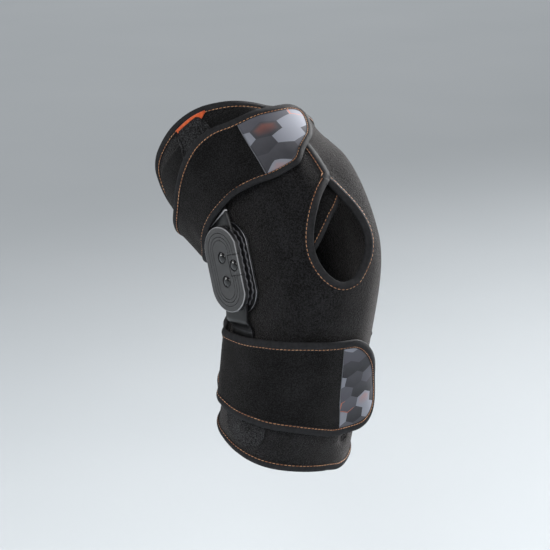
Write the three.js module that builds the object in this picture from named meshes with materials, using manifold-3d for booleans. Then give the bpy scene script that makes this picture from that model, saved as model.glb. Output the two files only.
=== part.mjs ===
import * as THREE from "three";
import { mergeGeometries, mergeVertices } from "three/addons/utils/BufferGeometryUtils.js";
import Module from "manifold-3d";

// Wrap-front knee brace with side hinges for a right leg, as worn with the knee bent.
// Millimetres. +Z up, -Y to the front, -X to the outer side. The origin is the knee's centre.
// A place on the leg is given by around, in degrees from the front towards the outer side,
// and along, in millimetres up the leg's bent centre line.

// the leg's form, measured to the sleeve's outer face
const CALF_LEAN = -6;
const THIGH_LEAN = 50;
const BEND_HALF = 45;
const SQUARENESS = 2.3;
const SECTIONS = [
  { along: -195, side: 54.5, front: 50, back: 60 },
  { along: -180, side: 55.5, front: 51, back: 61 },
  { along: -120, side: 58, front: 57, back: 58.5 },
  { along: -60, side: 58, front: 67, back: 53.5 },
  { along: 0, side: 57, front: 75, back: 51 },
  { along: 45, side: 60, front: 74, back: 57 },
  { along: 85, side: 66, front: 69, back: 64 },
  { along: 130, side: 71, front: 66, back: 69 },
  { along: 150, side: 72, front: 65, back: 71 },
];
// fullness of the knee's inner front
const INNER_BULGE = 7.5;

// cloth
const CLEAR = 0.3;
const SLEEVE_THICK = 3;
const STRAP_THICK = 2.6;
const TAPE_THICK = 0.6;
const TAPE_GAP = 0.45;
const TAPE_WIDE = 5.4;
const TAPE_SLACK = { rim: 0.28, opening: 0.78, strap: 0.42 };
const LAP_LIFT = 5.4;
const SLEEVE_COLUMNS = 36;
const TOP_RIM = [
  { around: -180, along: 90 },
  { around: -136, along: 93 },
  { around: -103, along: 96 },
  { around: -66, along: 97 },
  { around: -41, along: 96.5 },
  { around: -20, along: 96 },
  { around: -4, along: 97 },
  { around: 4, along: 100.5 },
  { around: 10, along: 106 },
  { around: 21, along: 114.3 },
  { around: 30, along: 120 },
  { around: 45, along: 127 },
  { around: 66, along: 129.4 },
  { around: 84, along: 128.4 },
  { around: 96, along: 125.8 },
  { around: 106, along: 120.8 },
  { around: 114, along: 113.5 },
  { around: 136, along: 97 },
  { around: 180, along: 90 },
];
const BOTTOM_RIM = [
  { around: -180, along: -157 },
  { around: -110, along: -164 },
  { around: -64, along: -174 },
  { around: -28, along: -181 },
  { around: -15, along: -181 },
  { around: 0, along: -177 },
  { around: 17, along: -173.5 },
  { around: 36, along: -171 },
  { around: 64, along: -169 },
  { around: 89, along: -166.5 },
  { around: 110, along: -162 },
  { around: 180, along: -157 },
];
// front edges of the sleeve: the kneecap window, and above it the outer flap over the inner one
const FRONT_EDGES = [
  { along: -18.7, outer: 6.3, inner: 6.3 },
  { along: -17.8, outer: 12, inner: -0.8 },
  { along: -15.6, outer: 17.8, inner: -5.2 },
  { along: -12, outer: 23.5, inner: -10.7 },
  { along: -7, outer: 28, inner: -16.6 },
  { along: -1, outer: 30.4, inner: -19.6 },
  { along: 5, outer: 29.5, inner: -19.3 },
  { along: 11, outer: 26, inner: -16.5 },
  { along: 17, outer: 20.5, inner: -12.3 },
  { along: 22, outer: 14.1, inner: -8.1 },
  { along: 26, outer: 7.6, inner: -5 },
  { along: 29.5, outer: 1.2, inner: -2.6 },
  { along: 33, outer: -1, inner: 4 },
  { along: 40, outer: -1, inner: 10 },
  { along: 55, outer: -1, inner: 14 },
];
const CALF_STEPS = [0, 0.18, 0.36, 0.54, 0.7, 0.82, 0.91];
const THIGH_STEPS = [0.34, 0.67, 1];

const THIGH_STRAP = {
  columns: 30,
  rows: 3,
  root: 297,
  tip: { around: -13, along: 84, high: 12, highSquare: 2.3, low: 31, lowSquare: 1.45 },
  edges: [
    { around: -13, low: 39, high: 94.5 },
    { around: 5, low: 39.4, high: 94.5 },
    { around: 16, low: 39.6, high: 95.6 },
    { around: 29, low: 39.1, high: 96.6 },
    { around: 47, low: 41.2, high: 100 },
    { around: 62, low: 43.6, high: 100 },
    { around: 75, low: 44, high: 96 },
    { around: 87, low: 43.4, high: 90 },
    { around: 96, low: 39, high: 83.2 },
    { around: 106, low: 33.4, high: 78.8 },
    { around: 120, low: 28.8, high: 77 },
    { around: 135, low: 27.6, high: 76 },
    { around: 180, low: 33, high: 74 },
    { around: 240, low: 39, high: 77 },
    { around: 282, low: 43.5, high: 80 },
    { around: 297, low: 44, high: 80 },
  ],
  stand: (around, along) =>
    3.9 + flapLift(around, along)
    + 4.2 * between(around, 34, 50, 126, 160)
    + 2.2 * between(around, 54, 66, 98, 112) * ramp(along, 66, 46)
    + 4.2 * between(around, 242, 260, 291, 303)
    + 3 * between(around, 246, 260, 290, 302) * ramp(along, 66, 46)
    - 2.2 * ramp(around, 2, -14),
  patch: { low: { along: 43, around: 40 }, high: { along: 92.5, around: 32.7 } },
};
const CALF_STRAP = {
  columns: 30,
  rows: 4,
  root: 297,
  tip: { around: -45, along: -112, high: 46, highSquare: 1.4, low: 25, lowSquare: 2.1 },
  edges: [
    { around: -45, low: -142.5, high: -48.5 },
    { around: -17, low: -142.5, high: -48.5 },
    { around: 0, low: -140.8, high: -48.3 },
    { around: 9, low: -137.5, high: -47.5 },
    { around: 24, low: -133, high: -46.8 },
    { around: 46, low: -128.8, high: -46.8 },
    { around: 67, low: -126.4, high: -49.4 },
    { around: 88, low: -125.7, high: -55.2 },
    { around: 101, low: -122.5, high: -57 },
    { around: 140, low: -118, high: -60 },
    { around: 180, low: -114, high: -62 },
    { around: 240, low: -112, high: -65 },
    { around: 297, low: -112, high: -66 },
  ],
  stand: (around, along) =>
    2.1
    + 4.8 * between(around, 30, 66, 100, 118)
    + 4.8 * between(around, 232, 252, 288, 302)
    + (4 + 6 * ramp(along, -90, -145)) * ramp(around, -6, -47),
  patch: { low: { along: -130, around: -1.6 }, high: { along: -55, around: 7.3 } },
};
const PATCH_INSET = 8;
const PATCH_GAP = 0.5;
const PATCH_THICK = 0.5;

const THIGH_PANEL = [
  { around: 12, low: 52, high: 100 },
  { around: 20, low: 52, high: 106.5 },
  { around: 28, low: 51, high: 109.3 },
  { around: 43, low: 50, high: 111.5 },
  { around: 80, low: 52, high: 113 },
  { around: 100, low: 52, high: 113 },
  { around: 113, low: 52, high: 103 },
  { around: 136, low: 52, high: 85 },
  { around: 180, low: 52, high: 79 },
  { around: 240, low: 52, high: 84 },
  { around: 300, low: 52, high: 87 },
];

// hinge, drawn with forward as x and up the hinge as y
const HINGE_Y = 1;
const HINGE_Z = 3;
const HINGE_LEAN = 18;
const PIVOT_HALF = 10;
const STOP_RIVET = { forward: 13.6, up: 2.5 };
const INSERT = { back: 8, low: -5.7, high: 11.2 };
const COVER = { straight: 14.5, radius: 21.5, front: 20.3 };
const CORE = { straight: 14.5, radius: 21.2, front: 20.6 };
const PLATE = { straight: 16, radius: 23, front: 22.4 };
const RIVET = { head: 4.2, dome: 1.5, shank: 2.6 };
const LAYERS = {
  plate: { from: 60.7, thick: 2.2 },
  coreInner: { from: 63.2, thick: 1.6 },
  arm: { from: 65.1, thick: 2.6 },
  coreOuter: { from: 68, thick: 1.6 },
  cover: { from: 69.9, thick: 3.8 },
};
// arms: the middle line in the side view, half width, and how far each spot is laid down on the leg
const UPPER_ARM = {
  steps: 20,
  off: 3.4,
  line: [
    { y: 4.1, z: 12.5, half: 12, laid: 0 },
    { y: 9, z: 27, half: 12.5, laid: 0 },
    { y: 16, z: 42, half: 12.5, laid: 0 },
    { y: 22, z: 48.5, half: 12, laid: 1 },
    { y: 37, z: 64, half: 11.5, laid: 1 },
    { y: 52, z: 79, half: 11, laid: 1 },
  ],
};
const LOWER_ARM = {
  steps: 20,
  off: 1.8,
  line: [
    { y: -2.1, z: -6.5, half: 12, laid: 0 },
    { y: -6, z: -28, half: 13, laid: 0 },
    { y: -6.6, z: -39, half: 13, laid: 0 },
    { y: -7.3, z: -50, half: 12.5, laid: 1 },
    { y: -7.5, z: -82, half: 12, laid: 1 },
    { y: -7.5, z: -110, half: 12, laid: 1 },
  ],
};

const wasm = await Module();
wasm.setup();

const group = new THREE.Group();
group.name = "hinged_knee_brace";

const velour = material(0x131314, 0.95, 0);
const tape = material(0x2b2b2d, 0.7, 0);
const print = material(0x5a5b60, 0.5, 0);
const bright = material(0xe8531f, 0.7, 0);
const plastic = material(0x35363a, 0.55, 0);
const coated = material(0x17181a, 0.35, 0.6);
const gloss = material(0x0a0a0b, 0.12, 0);

function material(color, roughness, metalness) {
  return new THREE.MeshStandardMaterial({ color, roughness, metalness });
}

// smooth step from 0 at a to 1 at b, in either direction
function ramp(value, a, b) {
  return THREE.MathUtils.smoothstep((value - a) / (b - a), 0, 1);
}

function between(value, a, b, c, d) {
  return ramp(value, a, b) * ramp(value, d, c);
}

// value of a table's column at a place, on a smooth curve through its rows
function read(table, key, column, place) {
  const last = table.length - 1;
  const at = THREE.MathUtils.clamp(place, table[0][key], table[last][key]);
  let i = 0;
  while (i < last - 1 && at > table[i + 1][key]) {
    i += 1;
  }
  const slope = (n) => {
    const a = table[Math.max(n - 1, 0)];
    const b = table[Math.min(n + 1, last)];
    return (b[column] - a[column]) / (b[key] - a[key]);
  };
  const wide = table[i + 1][key] - table[i][key];
  const t = (at - table[i][key]) / wide;
  const rise = t * t * (3 - 2 * t);
  const start = t * (1 - t) * (1 - t) * wide * slope(i);
  const end = t * t * (t - 1) * wide * slope(i + 1);
  return table[i][column] * (1 - rise) + table[i + 1][column] * rise + start + end;
}

function legAxis(along) {
  const middle = THREE.MathUtils.degToRad((CALF_LEAN + THIGH_LEAN) / 2);
  const curve = THREE.MathUtils.degToRad(THIGH_LEAN - CALF_LEAN) / (2 * BEND_HALF);
  const bent = THREE.MathUtils.clamp(along, -BEND_HALF, BEND_HALF);
  const lean = middle + curve * bent;
  const rest = along - bent;
  const y = (Math.cos(middle) - Math.cos(lean)) / curve + rest * Math.sin(lean);
  const z = (Math.sin(lean) - Math.sin(middle)) / curve + rest * Math.cos(lean);
  return { y, z, lean };
}

// around as an angle from -180 to 180
function fromFront(around) {
  return THREE.MathUtils.euclideanModulo(around + 180, 360) - 180;
}

function innerBulge(around, along) {
  const turned = fromFront(around);
  return INNER_BULGE * between(turned, -76, -50, -36, -4) * between(along, -46, 2, 36, 88);
}

function legPoint(around, along, clear) {
  const axis = legAxis(along);
  const off = clear + innerBulge(around, along);
  const angle = THREE.MathUtils.degToRad(around);
  const power = (part) => Math.sign(part) * Math.abs(part) ** (2 / SQUARENESS);
  const across = power(Math.sin(angle));
  const ahead = power(Math.cos(angle));
  const side = read(SECTIONS, "along", "side", along) + off;
  const depth = read(SECTIONS, "along", ahead > 0 ? "front" : "back", along) + off;
  return new THREE.Vector3(
    -across * side,
    axis.y - ahead * depth * Math.cos(axis.lean),
    axis.z + ahead * depth * Math.sin(axis.lean),
  );
}

// half width of the leg at a point of the side view
function legSide(y, z) {
  const middle = THREE.MathUtils.degToRad((CALF_LEAN + THIGH_LEAN) / 2);
  const curve = THREE.MathUtils.degToRad(THIGH_LEAN - CALF_LEAN) / (2 * BEND_HALF);
  const turned = Math.atan2(z + Math.sin(middle) / curve, Math.cos(middle) / curve - y);
  const near = THREE.MathUtils.clamp((turned - middle) / curve, -BEND_HALF, BEND_HALF);
  const foot = legAxis(near);
  const dy = y - foot.y;
  const dz = z - foot.z;
  const along = near + dy * Math.sin(foot.lean) + dz * Math.cos(foot.lean);
  const ahead = dz * Math.sin(foot.lean) - dy * Math.cos(foot.lean);
  const depth = read(SECTIONS, "along", ahead > 0 ? "front" : "back", along);
  const share = 1 - Math.abs(ahead / depth) ** SQUARENESS;
  return read(SECTIONS, "along", "side", along) * share ** (1 / SQUARENESS);
}

function rim(table, around) {
  return read(table, "around", "along", fromFront(around));
}

// how far the outer flap is raised where it laps over the inner one
function flapLift(around, along) {
  return LAP_LIFT * ramp(around, 48, 16) * ramp(along, -4, 22);
}

// one closed body: joined corners, no empty triangles, faces outward
function closed(geometry) {
  geometry.deleteAttribute("normal");
  geometry.deleteAttribute("uv");
  const joined = mergeVertices(geometry, 1e-4);
  const old = joined.index.array;
  const spot = joined.getAttribute("position");
  const kept = [];
  const a = new THREE.Vector3();
  const b = new THREE.Vector3();
  const c = new THREE.Vector3();
  let volume = 0;
  for (let i = 0; i < old.length; i += 3) {
    const [p, q, r] = [old[i], old[i + 1], old[i + 2]];
    if (p === q || q === r || r === p) {
      continue;
    }
    kept.push(p, q, r);
    a.fromBufferAttribute(spot, p);
    b.fromBufferAttribute(spot, q);
    c.fromBufferAttribute(spot, r);
    volume += a.dot(b.cross(c));
  }
  if (volume < 0) {
    kept.reverse();
  }
  joined.setIndex(kept);
  joined.clearGroups();
  joined.computeVertexNormals();
  return joined;
}

function solid(geometry) {
  const body = closed(geometry);
  return new wasm.Manifold(new wasm.Mesh({
    numProp: 3,
    vertProperties: body.getAttribute("position").array,
    triVerts: new Uint32Array(body.index.array),
  }));
}

function cut(geometry, tool) {
  const mesh = solid(geometry).subtract(solid(tool)).getMesh();
  const left = new THREE.BufferGeometry();
  left.setAttribute("position", new THREE.BufferAttribute(mesh.vertProperties, 3));
  left.setIndex(new THREE.BufferAttribute(mesh.triVerts, 1));
  return left;
}

function add(name, geometry, look) {
  const mesh = new THREE.Mesh(closed(geometry), look);
  mesh.name = name;
  group.add(mesh);
}

// a flat grid laid out by place(column, row)
function patch(columns, rows, place) {
  const geometry = new THREE.PlaneGeometry(1, 1, columns, rows);
  const spot = geometry.getAttribute("position");
  for (let n = 0; n < spot.count; n += 1) {
    const i = Math.round((spot.getX(n) + 0.5) * columns);
    const j = Math.round((spot.getY(n) + 0.5) * rows);
    spot.setXYZ(n, ...place(i, j).toArray());
  }
  return geometry;
}

// a sheet with thickness laid out by place(column, row, layer), layer 0 inside and 1 outside
function sheet(columns, rows, place) {
  const geometry = new THREE.BoxGeometry(1, 1, 1, columns, rows, 1);
  const spot = geometry.getAttribute("position");
  for (let n = 0; n < spot.count; n += 1) {
    const i = Math.round((spot.getX(n) + 0.5) * columns);
    const j = Math.round((spot.getY(n) + 0.5) * rows);
    const k = Math.round(spot.getZ(n) + 0.5);
    spot.setXYZ(n, ...place(i, j, k).toArray());
  }
  return geometry;
}

// binding tape folded over a cloth edge; path runs along the edge with the cloth on its side
function foldedTape(path, outer, inner, side, slack) {
  const last = path.length - 1;
  const ribs = path.map((here, i) => {
    const face = outer(here.around, here.along);
    const at = legPoint(here.around, here.along, face);
    const before = path[Math.max(i - 1, 0)];
    const after = path[Math.min(i + 1, last)];
    const run = legPoint(after.around, after.along, face)
      .sub(legPoint(before.around, before.along, face));
    const turn = legPoint(here.around + 0.5, here.along, face).sub(at).multiplyScalar(2);
    const rise = legPoint(here.around, here.along + 0.5, face).sub(at).multiplyScalar(2);
    const inward = turn.clone().cross(rise).cross(run).normalize().multiplyScalar(side);
    const tt = turn.dot(turn);
    const rr = rise.dot(rise);
    const tr = turn.dot(rise);
    const ti = turn.dot(inward);
    const ri = rise.dot(inward);
    const whole = tt * rr - tr * tr;
    return { ...here, turn: (ti * rr - ri * tr) / whole, rise: (ri * tt - ti * tr) / whole };
  });
  return sheet(last, 3, (i, j, k) => {
    const rib = ribs[i];
    const away = TAPE_GAP + k * TAPE_THICK;
    const deep = j === 0 || j === 3 ? TAPE_WIDE : -away;
    const around = rib.around + rib.turn * deep;
    const along = rib.along + rib.rise * deep;
    const off = j < 2 ? outer(around, along) + away + slack / 2 : inner(around, along) - away - slack;
    return legPoint(around, along, off);
  });
}

// sleeve
const windowLow = FRONT_EDGES[0];
const windowTop = FRONT_EDGES[FRONT_EDGES.length - 1];
const sleeveRows = CALF_STEPS.length + FRONT_EDGES.length + THIGH_STEPS.length - 1;

function sleeveEdges(row) {
  return FRONT_EDGES[THREE.MathUtils.clamp(row - CALF_STEPS.length, 0, FRONT_EDGES.length - 1)];
}

function sleeveAlong(row, around) {
  const edge = row - CALF_STEPS.length;
  if (edge < 0) {
    return THREE.MathUtils.lerp(rim(BOTTOM_RIM, around), windowLow.along, CALF_STEPS[row]);
  }
  if (edge < FRONT_EDGES.length) {
    return FRONT_EDGES[edge].along;
  }
  const step = THIGH_STEPS[edge - FRONT_EDGES.length];
  return THREE.MathUtils.lerp(windowTop.along, rim(TOP_RIM, around), step);
}

function sleevePoint(column, row, layer) {
  const edges = sleeveEdges(row);
  const around = THREE.MathUtils.lerp(edges.outer, edges.inner + 360, column / SLEEVE_COLUMNS);
  const along = sleeveAlong(row, around);
  const off = flapLift(around, along) - (1 - layer) * SLEEVE_THICK;
  return legPoint(around, along, off);
}

const openRow = CALF_STEPS.length;
const openRows = sleeveRows - openRow;
const ends = SLEEVE_COLUMNS;
add("sleeve", mergeGeometries([
  patch(ends, sleeveRows, (i, j) => sleevePoint(i, j, 1)),
  patch(ends, sleeveRows, (i, j) => sleevePoint(ends - i, j, 0)),
  patch(ends, 1, (i, k) => sleevePoint(i, 0, k)),
  patch(ends, 1, (i, k) => sleevePoint(i, sleeveRows, 1 - k)),
  patch(1, openRows, (k, j) => sleevePoint(ends, openRow + j, 1 - k)),
  patch(1, openRows, (k, j) => sleevePoint(0, openRow + j, k)),
]), velour);

const sleeveOuter = (around, along) => flapLift(around, along);
const sleeveInner = (around, along) => flapLift(around, along) - SLEEVE_THICK;
const topPath = [...Array(ends + 1).keys()].map((i) => {
  const around = THREE.MathUtils.lerp(windowTop.outer, windowTop.inner + 360, i / ends);
  return { around, along: rim(TOP_RIM, around) };
});
const topTape = foldedTape(topPath, sleeveOuter, sleeveInner, -1, TAPE_SLACK.rim);
add("sleeve_top_binding", topTape, tape);

const backSeam = windowLow.outer + 180;
const bottomPath = [...Array(ends + 1).keys()].map((i) => {
  const even = backSeam + (360 * i) / ends;
  const around = THREE.MathUtils.clamp(even, backSeam + 0.3, backSeam + 359.7);
  return { around, along: rim(BOTTOM_RIM, around) };
});
const plainOuter = () => 0;
const plainInner = () => -SLEEVE_THICK;
const bottomTape = foldedTape(bottomPath, plainOuter, plainInner, 1, TAPE_SLACK.rim);
add("sleeve_bottom_binding", bottomTape, tape);

// the edge runs down the outer flap, round the window and up the inner flap
const EDGE_STOP = TAPE_WIDE + 1.5;
const flapTop = (around) => Math.min(rim(TOP_RIM, around), rim(TOP_RIM, around - 7)) - EDGE_STOP;
const halfway = (around) => (flapTop(around) + windowTop.along) / 2;
const outerSide = FRONT_EDGES.map((row) => ({ around: row.outer, along: row.along }));
const innerSide = FRONT_EDGES.map((row) => ({ around: row.inner + 360, along: row.along }));
const openingPath = [
  { around: windowTop.outer, along: flapTop(windowTop.outer) },
  { around: windowTop.outer, along: halfway(windowTop.outer) },
  ...outerSide.reverse(),
  ...innerSide.slice(1),
  { around: windowTop.inner + 360, along: halfway(windowTop.inner) },
  { around: windowTop.inner + 360, along: flapTop(windowTop.inner) },
];
const openingTape = foldedTape(openingPath, sleeveOuter, sleeveInner, 1, TAPE_SLACK.opening);
add("opening_binding", openingTape, tape);

// tongue: the inner layer behind the window's top corner
const TONGUE = { from: -8, to: 32, top: 50, out: -6.2, thick: 1.6, columns: 8, rows: 4 };
const tongueLow = (around) => 16 - 0.56 * around;
const tongueAround = (i) => THREE.MathUtils.lerp(TONGUE.from, TONGUE.to, i / TONGUE.columns);
add("tongue", sheet(TONGUE.columns, TONGUE.rows, (i, j, k) => {
  const around = tongueAround(i);
  const along = THREE.MathUtils.lerp(tongueLow(around), TONGUE.top, j / TONGUE.rows);
  return legPoint(around, along, TONGUE.out - (1 - k) * TONGUE.thick);
}), velour);
const tonguePath = [...Array(TONGUE.columns + 1).keys()].map((i) => {
  const around = tongueAround(i);
  return { around, along: tongueLow(around) };
});
const tongueOuter = () => TONGUE.out;
const tongueInner = () => TONGUE.out - TONGUE.thick;
const tongueTape = foldedTape(tonguePath, tongueOuter, tongueInner, 1, TAPE_SLACK.rim);
add("tongue_binding", tongueTape, tape);

// thin layer on the thigh, under the strap
const PANEL = { from: 12, to: 300, columns: 32, rows: 3, out: 1.7, thick: 1.1 };
add("thigh_panel", sheet(PANEL.columns, PANEL.rows, (i, j, k) => {
  const around = THREE.MathUtils.lerp(PANEL.from, PANEL.to, i / PANEL.columns);
  const low = read(THIGH_PANEL, "around", "low", around);
  const high = read(THIGH_PANEL, "around", "high", around);
  const along = THREE.MathUtils.lerp(low, high, j / PANEL.rows);
  const out = PANEL.out + flapLift(around, along);
  return legPoint(around, along, out - (1 - k) * PANEL.thick);
}), velour);

// straps
function roundEnd(share, square) {
  const left = THREE.MathUtils.clamp(1 - share, 0, 1);
  return (1 - left ** square) ** (1 / square);
}

// low and high edge of a strap at an angle, drawn in by inset
function strapSpan(strap, around, inset) {
  const tip = strap.tip;
  const turn = inset / 1.15;
  const past = around - tip.around - turn;
  const high = read(strap.edges, "around", "high", around) - inset;
  const low = read(strap.edges, "around", "low", around) + inset;
  return {
    low: tip.along - (tip.along - low) * roundEnd(past / (tip.low - turn / 2), tip.lowSquare),
    high: tip.along + (high - tip.along) * roundEnd(past / (tip.high - turn / 2), tip.highSquare),
  };
}

const TIP_BLUNT = 0.25;
const TIP_TURN = 38;
const TIP_COLUMNS = 8;
// columns lie closer together round the tip
function strapAround(strap, i) {
  const start = strap.tip.around + TIP_BLUNT;
  if (i < TIP_COLUMNS) {
    return start + TIP_TURN * (i / TIP_COLUMNS) ** 1.6;
  }
  const share = (i - TIP_COLUMNS) / (strap.columns - TIP_COLUMNS);
  return THREE.MathUtils.lerp(start + TIP_TURN, strap.root, share);
}

function strapBody(strap) {
  return sheet(strap.columns, strap.rows, (i, j, k) => {
    const around = strapAround(strap, i);
    const span = strapSpan(strap, around, 0);
    const along = THREE.MathUtils.lerp(span.low, span.high, j / strap.rows);
    return legPoint(around, along, strap.stand(around, along) + k * STRAP_THICK);
  });
}

function strapTape(strap) {
  const steps = [...Array(strap.columns + 1).keys()];
  const edge = (side) => (i) => {
    const around = strapAround(strap, i);
    return { around, along: strapSpan(strap, around, 0)[side] };
  };
  const path = [...steps.map(edge("high")).reverse(), ...steps.map(edge("low"))];
  const outer = (around, along) => strap.stand(around, along) + STRAP_THICK;
  return foldedTape(path, outer, strap.stand, 1, TAPE_SLACK.strap);
}

function strapPatch(strap) {
  const columns = 10;
  const { low, high } = strap.patch;
  const line = (along) => {
    const share = (along - low.along) / (high.along - low.along);
    return THREE.MathUtils.lerp(low.around, high.around, share);
  };
  const start = strap.tip.around + PATCH_INSET / 1.15 + 2 * TIP_BLUNT;
  const middle = (low.around + high.around) / 2;
  return sheet(columns, strap.rows, (i, j, k) => {
    const share = (i / columns) ** 1.5;
    const plain = THREE.MathUtils.lerp(start, middle, share);
    const span = strapSpan(strap, plain, PATCH_INSET);
    const along = THREE.MathUtils.lerp(span.low, span.high, j / strap.rows);
    const around = plain + share * (line(along) - middle);
    const out = strap.stand(around, along) + STRAP_THICK + PATCH_GAP;
    return legPoint(around, along, out + k * PATCH_THICK);
  });
}

add("thigh_strap", strapBody(THIGH_STRAP), velour);
add("thigh_strap_binding", strapTape(THIGH_STRAP), tape);
add("thigh_strap_patch", strapPatch(THIGH_STRAP), print);
add("calf_strap", strapBody(CALF_STRAP), velour);
add("calf_strap_binding", strapTape(CALF_STRAP), tape);
add("calf_strap_patch", strapPatch(CALF_STRAP), print);

// tabs of the arms' pockets
const UPPER_TAB = { from: 47.5, to: 81.5, slant: 10, low: 93, end: 121.2, round: 6, out: 3.7, thick: 1.4 };
const LOWER_TAB = { from: 62, to: 100, slant: 0, low: -115, end: -156.5, round: 19, out: 2, thick: 1.4 };
const TAB_COLUMNS = 10;
function pocketTab(tab) {
  return sheet(TAB_COLUMNS, 3, (i, j, k) => {
    const plain = THREE.MathUtils.lerp(tab.from, tab.to, i / TAB_COLUMNS);
    const near = Math.min(plain - tab.from, tab.to - plain) / tab.round;
    const corner = (1 - roundEnd(near, 2)) * 0.4 * (tab.end - tab.low);
    const along = THREE.MathUtils.lerp(tab.low, tab.end - corner, j / 3);
    const around = plain - (tab.slant * (i / TAB_COLUMNS) * j) / 3;
    return legPoint(around, along, tab.out - (1 - k) * tab.thick);
  });
}
add("upper_pocket_tab", pocketTab(UPPER_TAB), velour);
add("lower_pocket_tab", pocketTab(LOWER_TAB), velour);

const PULL = { from: 42, to: 69, low: 117.5, out: 1.9, thick: 1.2, columns: 8 };
add("upper_pull", sheet(PULL.columns, 1, (i, j, k) => {
  const around = THREE.MathUtils.lerp(PULL.from, PULL.to, i / PULL.columns);
  const high = rim(TOP_RIM, around) - TAPE_WIDE - 1;
  const along = THREE.MathUtils.lerp(PULL.low, high, j);
  return legPoint(around, along, PULL.out - (1 - k) * PULL.thick);
}), bright);

// hinges
const lean = THREE.MathUtils.degToRad(HINGE_LEAN);
const hingeForward = new THREE.Vector3(0, -Math.cos(lean), Math.sin(lean));
const hingeUp = new THREE.Vector3(0, Math.sin(lean), Math.cos(lean));
const outward = new THREE.Vector3(-1, 0, 0);

// sets a body drawn on the hinge's face plane at a distance out from the leg's middle
function onHinge(geometry, out) {
  const place = new THREE.Matrix4().makeBasis(hingeForward, hingeUp, outward);
  place.setPosition(-out, HINGE_Y, HINGE_Z);
  return geometry.applyMatrix4(place);
}

// outline with round ends and back and a flat front
function hingeOutline(size) {
  const turn = Math.acos(size.front / size.radius);
  const outline = new THREE.Shape();
  outline.absarc(0, size.straight, size.radius, turn, Math.PI, false);
  outline.absarc(0, -size.straight, size.radius, Math.PI, 2 * Math.PI - turn, false);
  return outline;
}

function roundHole(x, y, radius) {
  const hole = new THREE.Path();
  hole.absarc(x, y, radius, 0, 2 * Math.PI, true);
  return hole;
}

const shankHole = RIVET.shank + CLEAR;
const pivotHoles = [PIVOT_HALF, -PIVOT_HALF].map((y) => roundHole(0, y, shankHole));
const stopHole = roundHole(STOP_RIVET.forward, STOP_RIVET.up, shankHole);
const CURVE_STEPS = 12;
const DRILL_LONG = 20;

function layer(shape, thick, bevel) {
  return new THREE.ExtrudeGeometry(shape, {
    depth: thick - bevel,
    curveSegments: CURVE_STEPS,
    bevelEnabled: bevel > 0,
    bevelThickness: bevel / 2,
    bevelSize: bevel / 2,
    bevelOffset: -bevel / 2,
    bevelSegments: 1,
  }).translate(0, 0, bevel / 2);
}

// cover without the insert's place in its front edge
function coverShape() {
  const turn = Math.acos(COVER.front / COVER.radius);
  const shape = new THREE.Shape();
  shape.moveTo(COVER.front, INSERT.high + CLEAR);
  shape.lineTo(COVER.front, COVER.straight + COVER.radius * Math.sin(turn));
  shape.absarc(0, COVER.straight, COVER.radius, turn, Math.PI, false);
  shape.absarc(0, -COVER.straight, COVER.radius, Math.PI, 2 * Math.PI - turn, false);
  shape.lineTo(COVER.front, INSERT.low - CLEAR);
  shape.lineTo(INSERT.back - CLEAR, INSERT.low - CLEAR);
  shape.lineTo(INSERT.back - CLEAR, INSERT.high + CLEAR);
  shape.closePath();
  shape.holes = pivotHoles;
  return shape;
}

function insertShape() {
  const shape = new THREE.Shape();
  shape.moveTo(INSERT.back, INSERT.low);
  shape.lineTo(COVER.front, INSERT.low);
  shape.lineTo(COVER.front, INSERT.high);
  shape.lineTo(INSERT.back, INSERT.high);
  shape.closePath();
  shape.holes = [stopHole];
  return shape;
}

// core plate with a scalloped edge
function coreShape(phase) {
  const SCALLOPS = 44;
  const STEPS = 4;
  const edge = hingeOutline(CORE).getSpacedPoints(SCALLOPS * STEPS);
  const points = edge.slice(0, -1).map((spot, i) => {
    const shrink = 1 - 0.011 * (1 + Math.cos((2 * Math.PI * i) / STEPS + phase));
    return spot.clone().multiplyScalar(shrink);
  });
  const shape = new THREE.Shape(points);
  shape.holes = [...pivotHoles, stopHole];
  return shape;
}

function plateShape() {
  const shape = hingeOutline(PLATE);
  shape.holes = pivotHoles;
  return shape;
}

// domed rivet, its head on the cover and its shank reaching in
function rivet(x, y, reach) {
  const profile = [new THREE.Vector2(0, -reach), new THREE.Vector2(RIVET.shank, -reach)];
  profile.push(new THREE.Vector2(RIVET.shank, CLEAR));
  const rise = 4;
  for (let i = 0; i <= rise; i += 1) {
    const turn = (Math.PI / 2) * (i / rise);
    profile.push(new THREE.Vector2(RIVET.head * Math.cos(turn), CLEAR + RIVET.dome * Math.sin(turn)));
  }
  profile[profile.length - 1].x = 0;
  return new THREE.LatheGeometry(profile, 20).rotateX(Math.PI / 2).translate(x, y, 0);
}

// flat arm along its line, from the hinge's plane down on to the leg
function arm(bar, pivot) {
  const line = bar.line.map((spot, i) => ({ ...spot, i }));
  const last = line.length - 1;
  const at = (t) => (column) => read(line, "i", column, t);
  const body = sheet(bar.steps, 1, (i, j, k) => {
    const t = (last * i) / bar.steps;
    const here = at(t);
    const ahead = at(Math.min(t + 0.05, last));
    const behind = at(Math.max(t - 0.05, 0));
    const run = new THREE.Vector2(ahead("y") - behind("y"), ahead("z") - behind("z")).normalize();
    const past = i === 0 ? -0.7 * PIVOT_HALF : 0;
    const half = here("half") * (i === 0 || i === bar.steps ? 0.65 : 1);
    const y = here("y") + past * run.x + (2 * j - 1) * half * run.y;
    const z = here("z") + past * run.y - (2 * j - 1) * half * run.x;
    const laid = THREE.MathUtils.clamp(here("laid"), 0, 1);
    const onLeg = laid > 0 ? legSide(y, z) + bar.off : 0;
    const out = THREE.MathUtils.lerp(LAYERS.arm.from, onLeg, laid);
    return new THREE.Vector3(-out - k * LAYERS.arm.thick, y, z);
  });
  const drill = new THREE.CylinderGeometry(shankHole, shankHole, DRILL_LONG, 2 * CURVE_STEPS);
  const hole = drill.rotateX(Math.PI / 2).translate(0, pivot, 0);
  return cut(body, onHinge(hole, LAYERS.arm.from));
}

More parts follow.
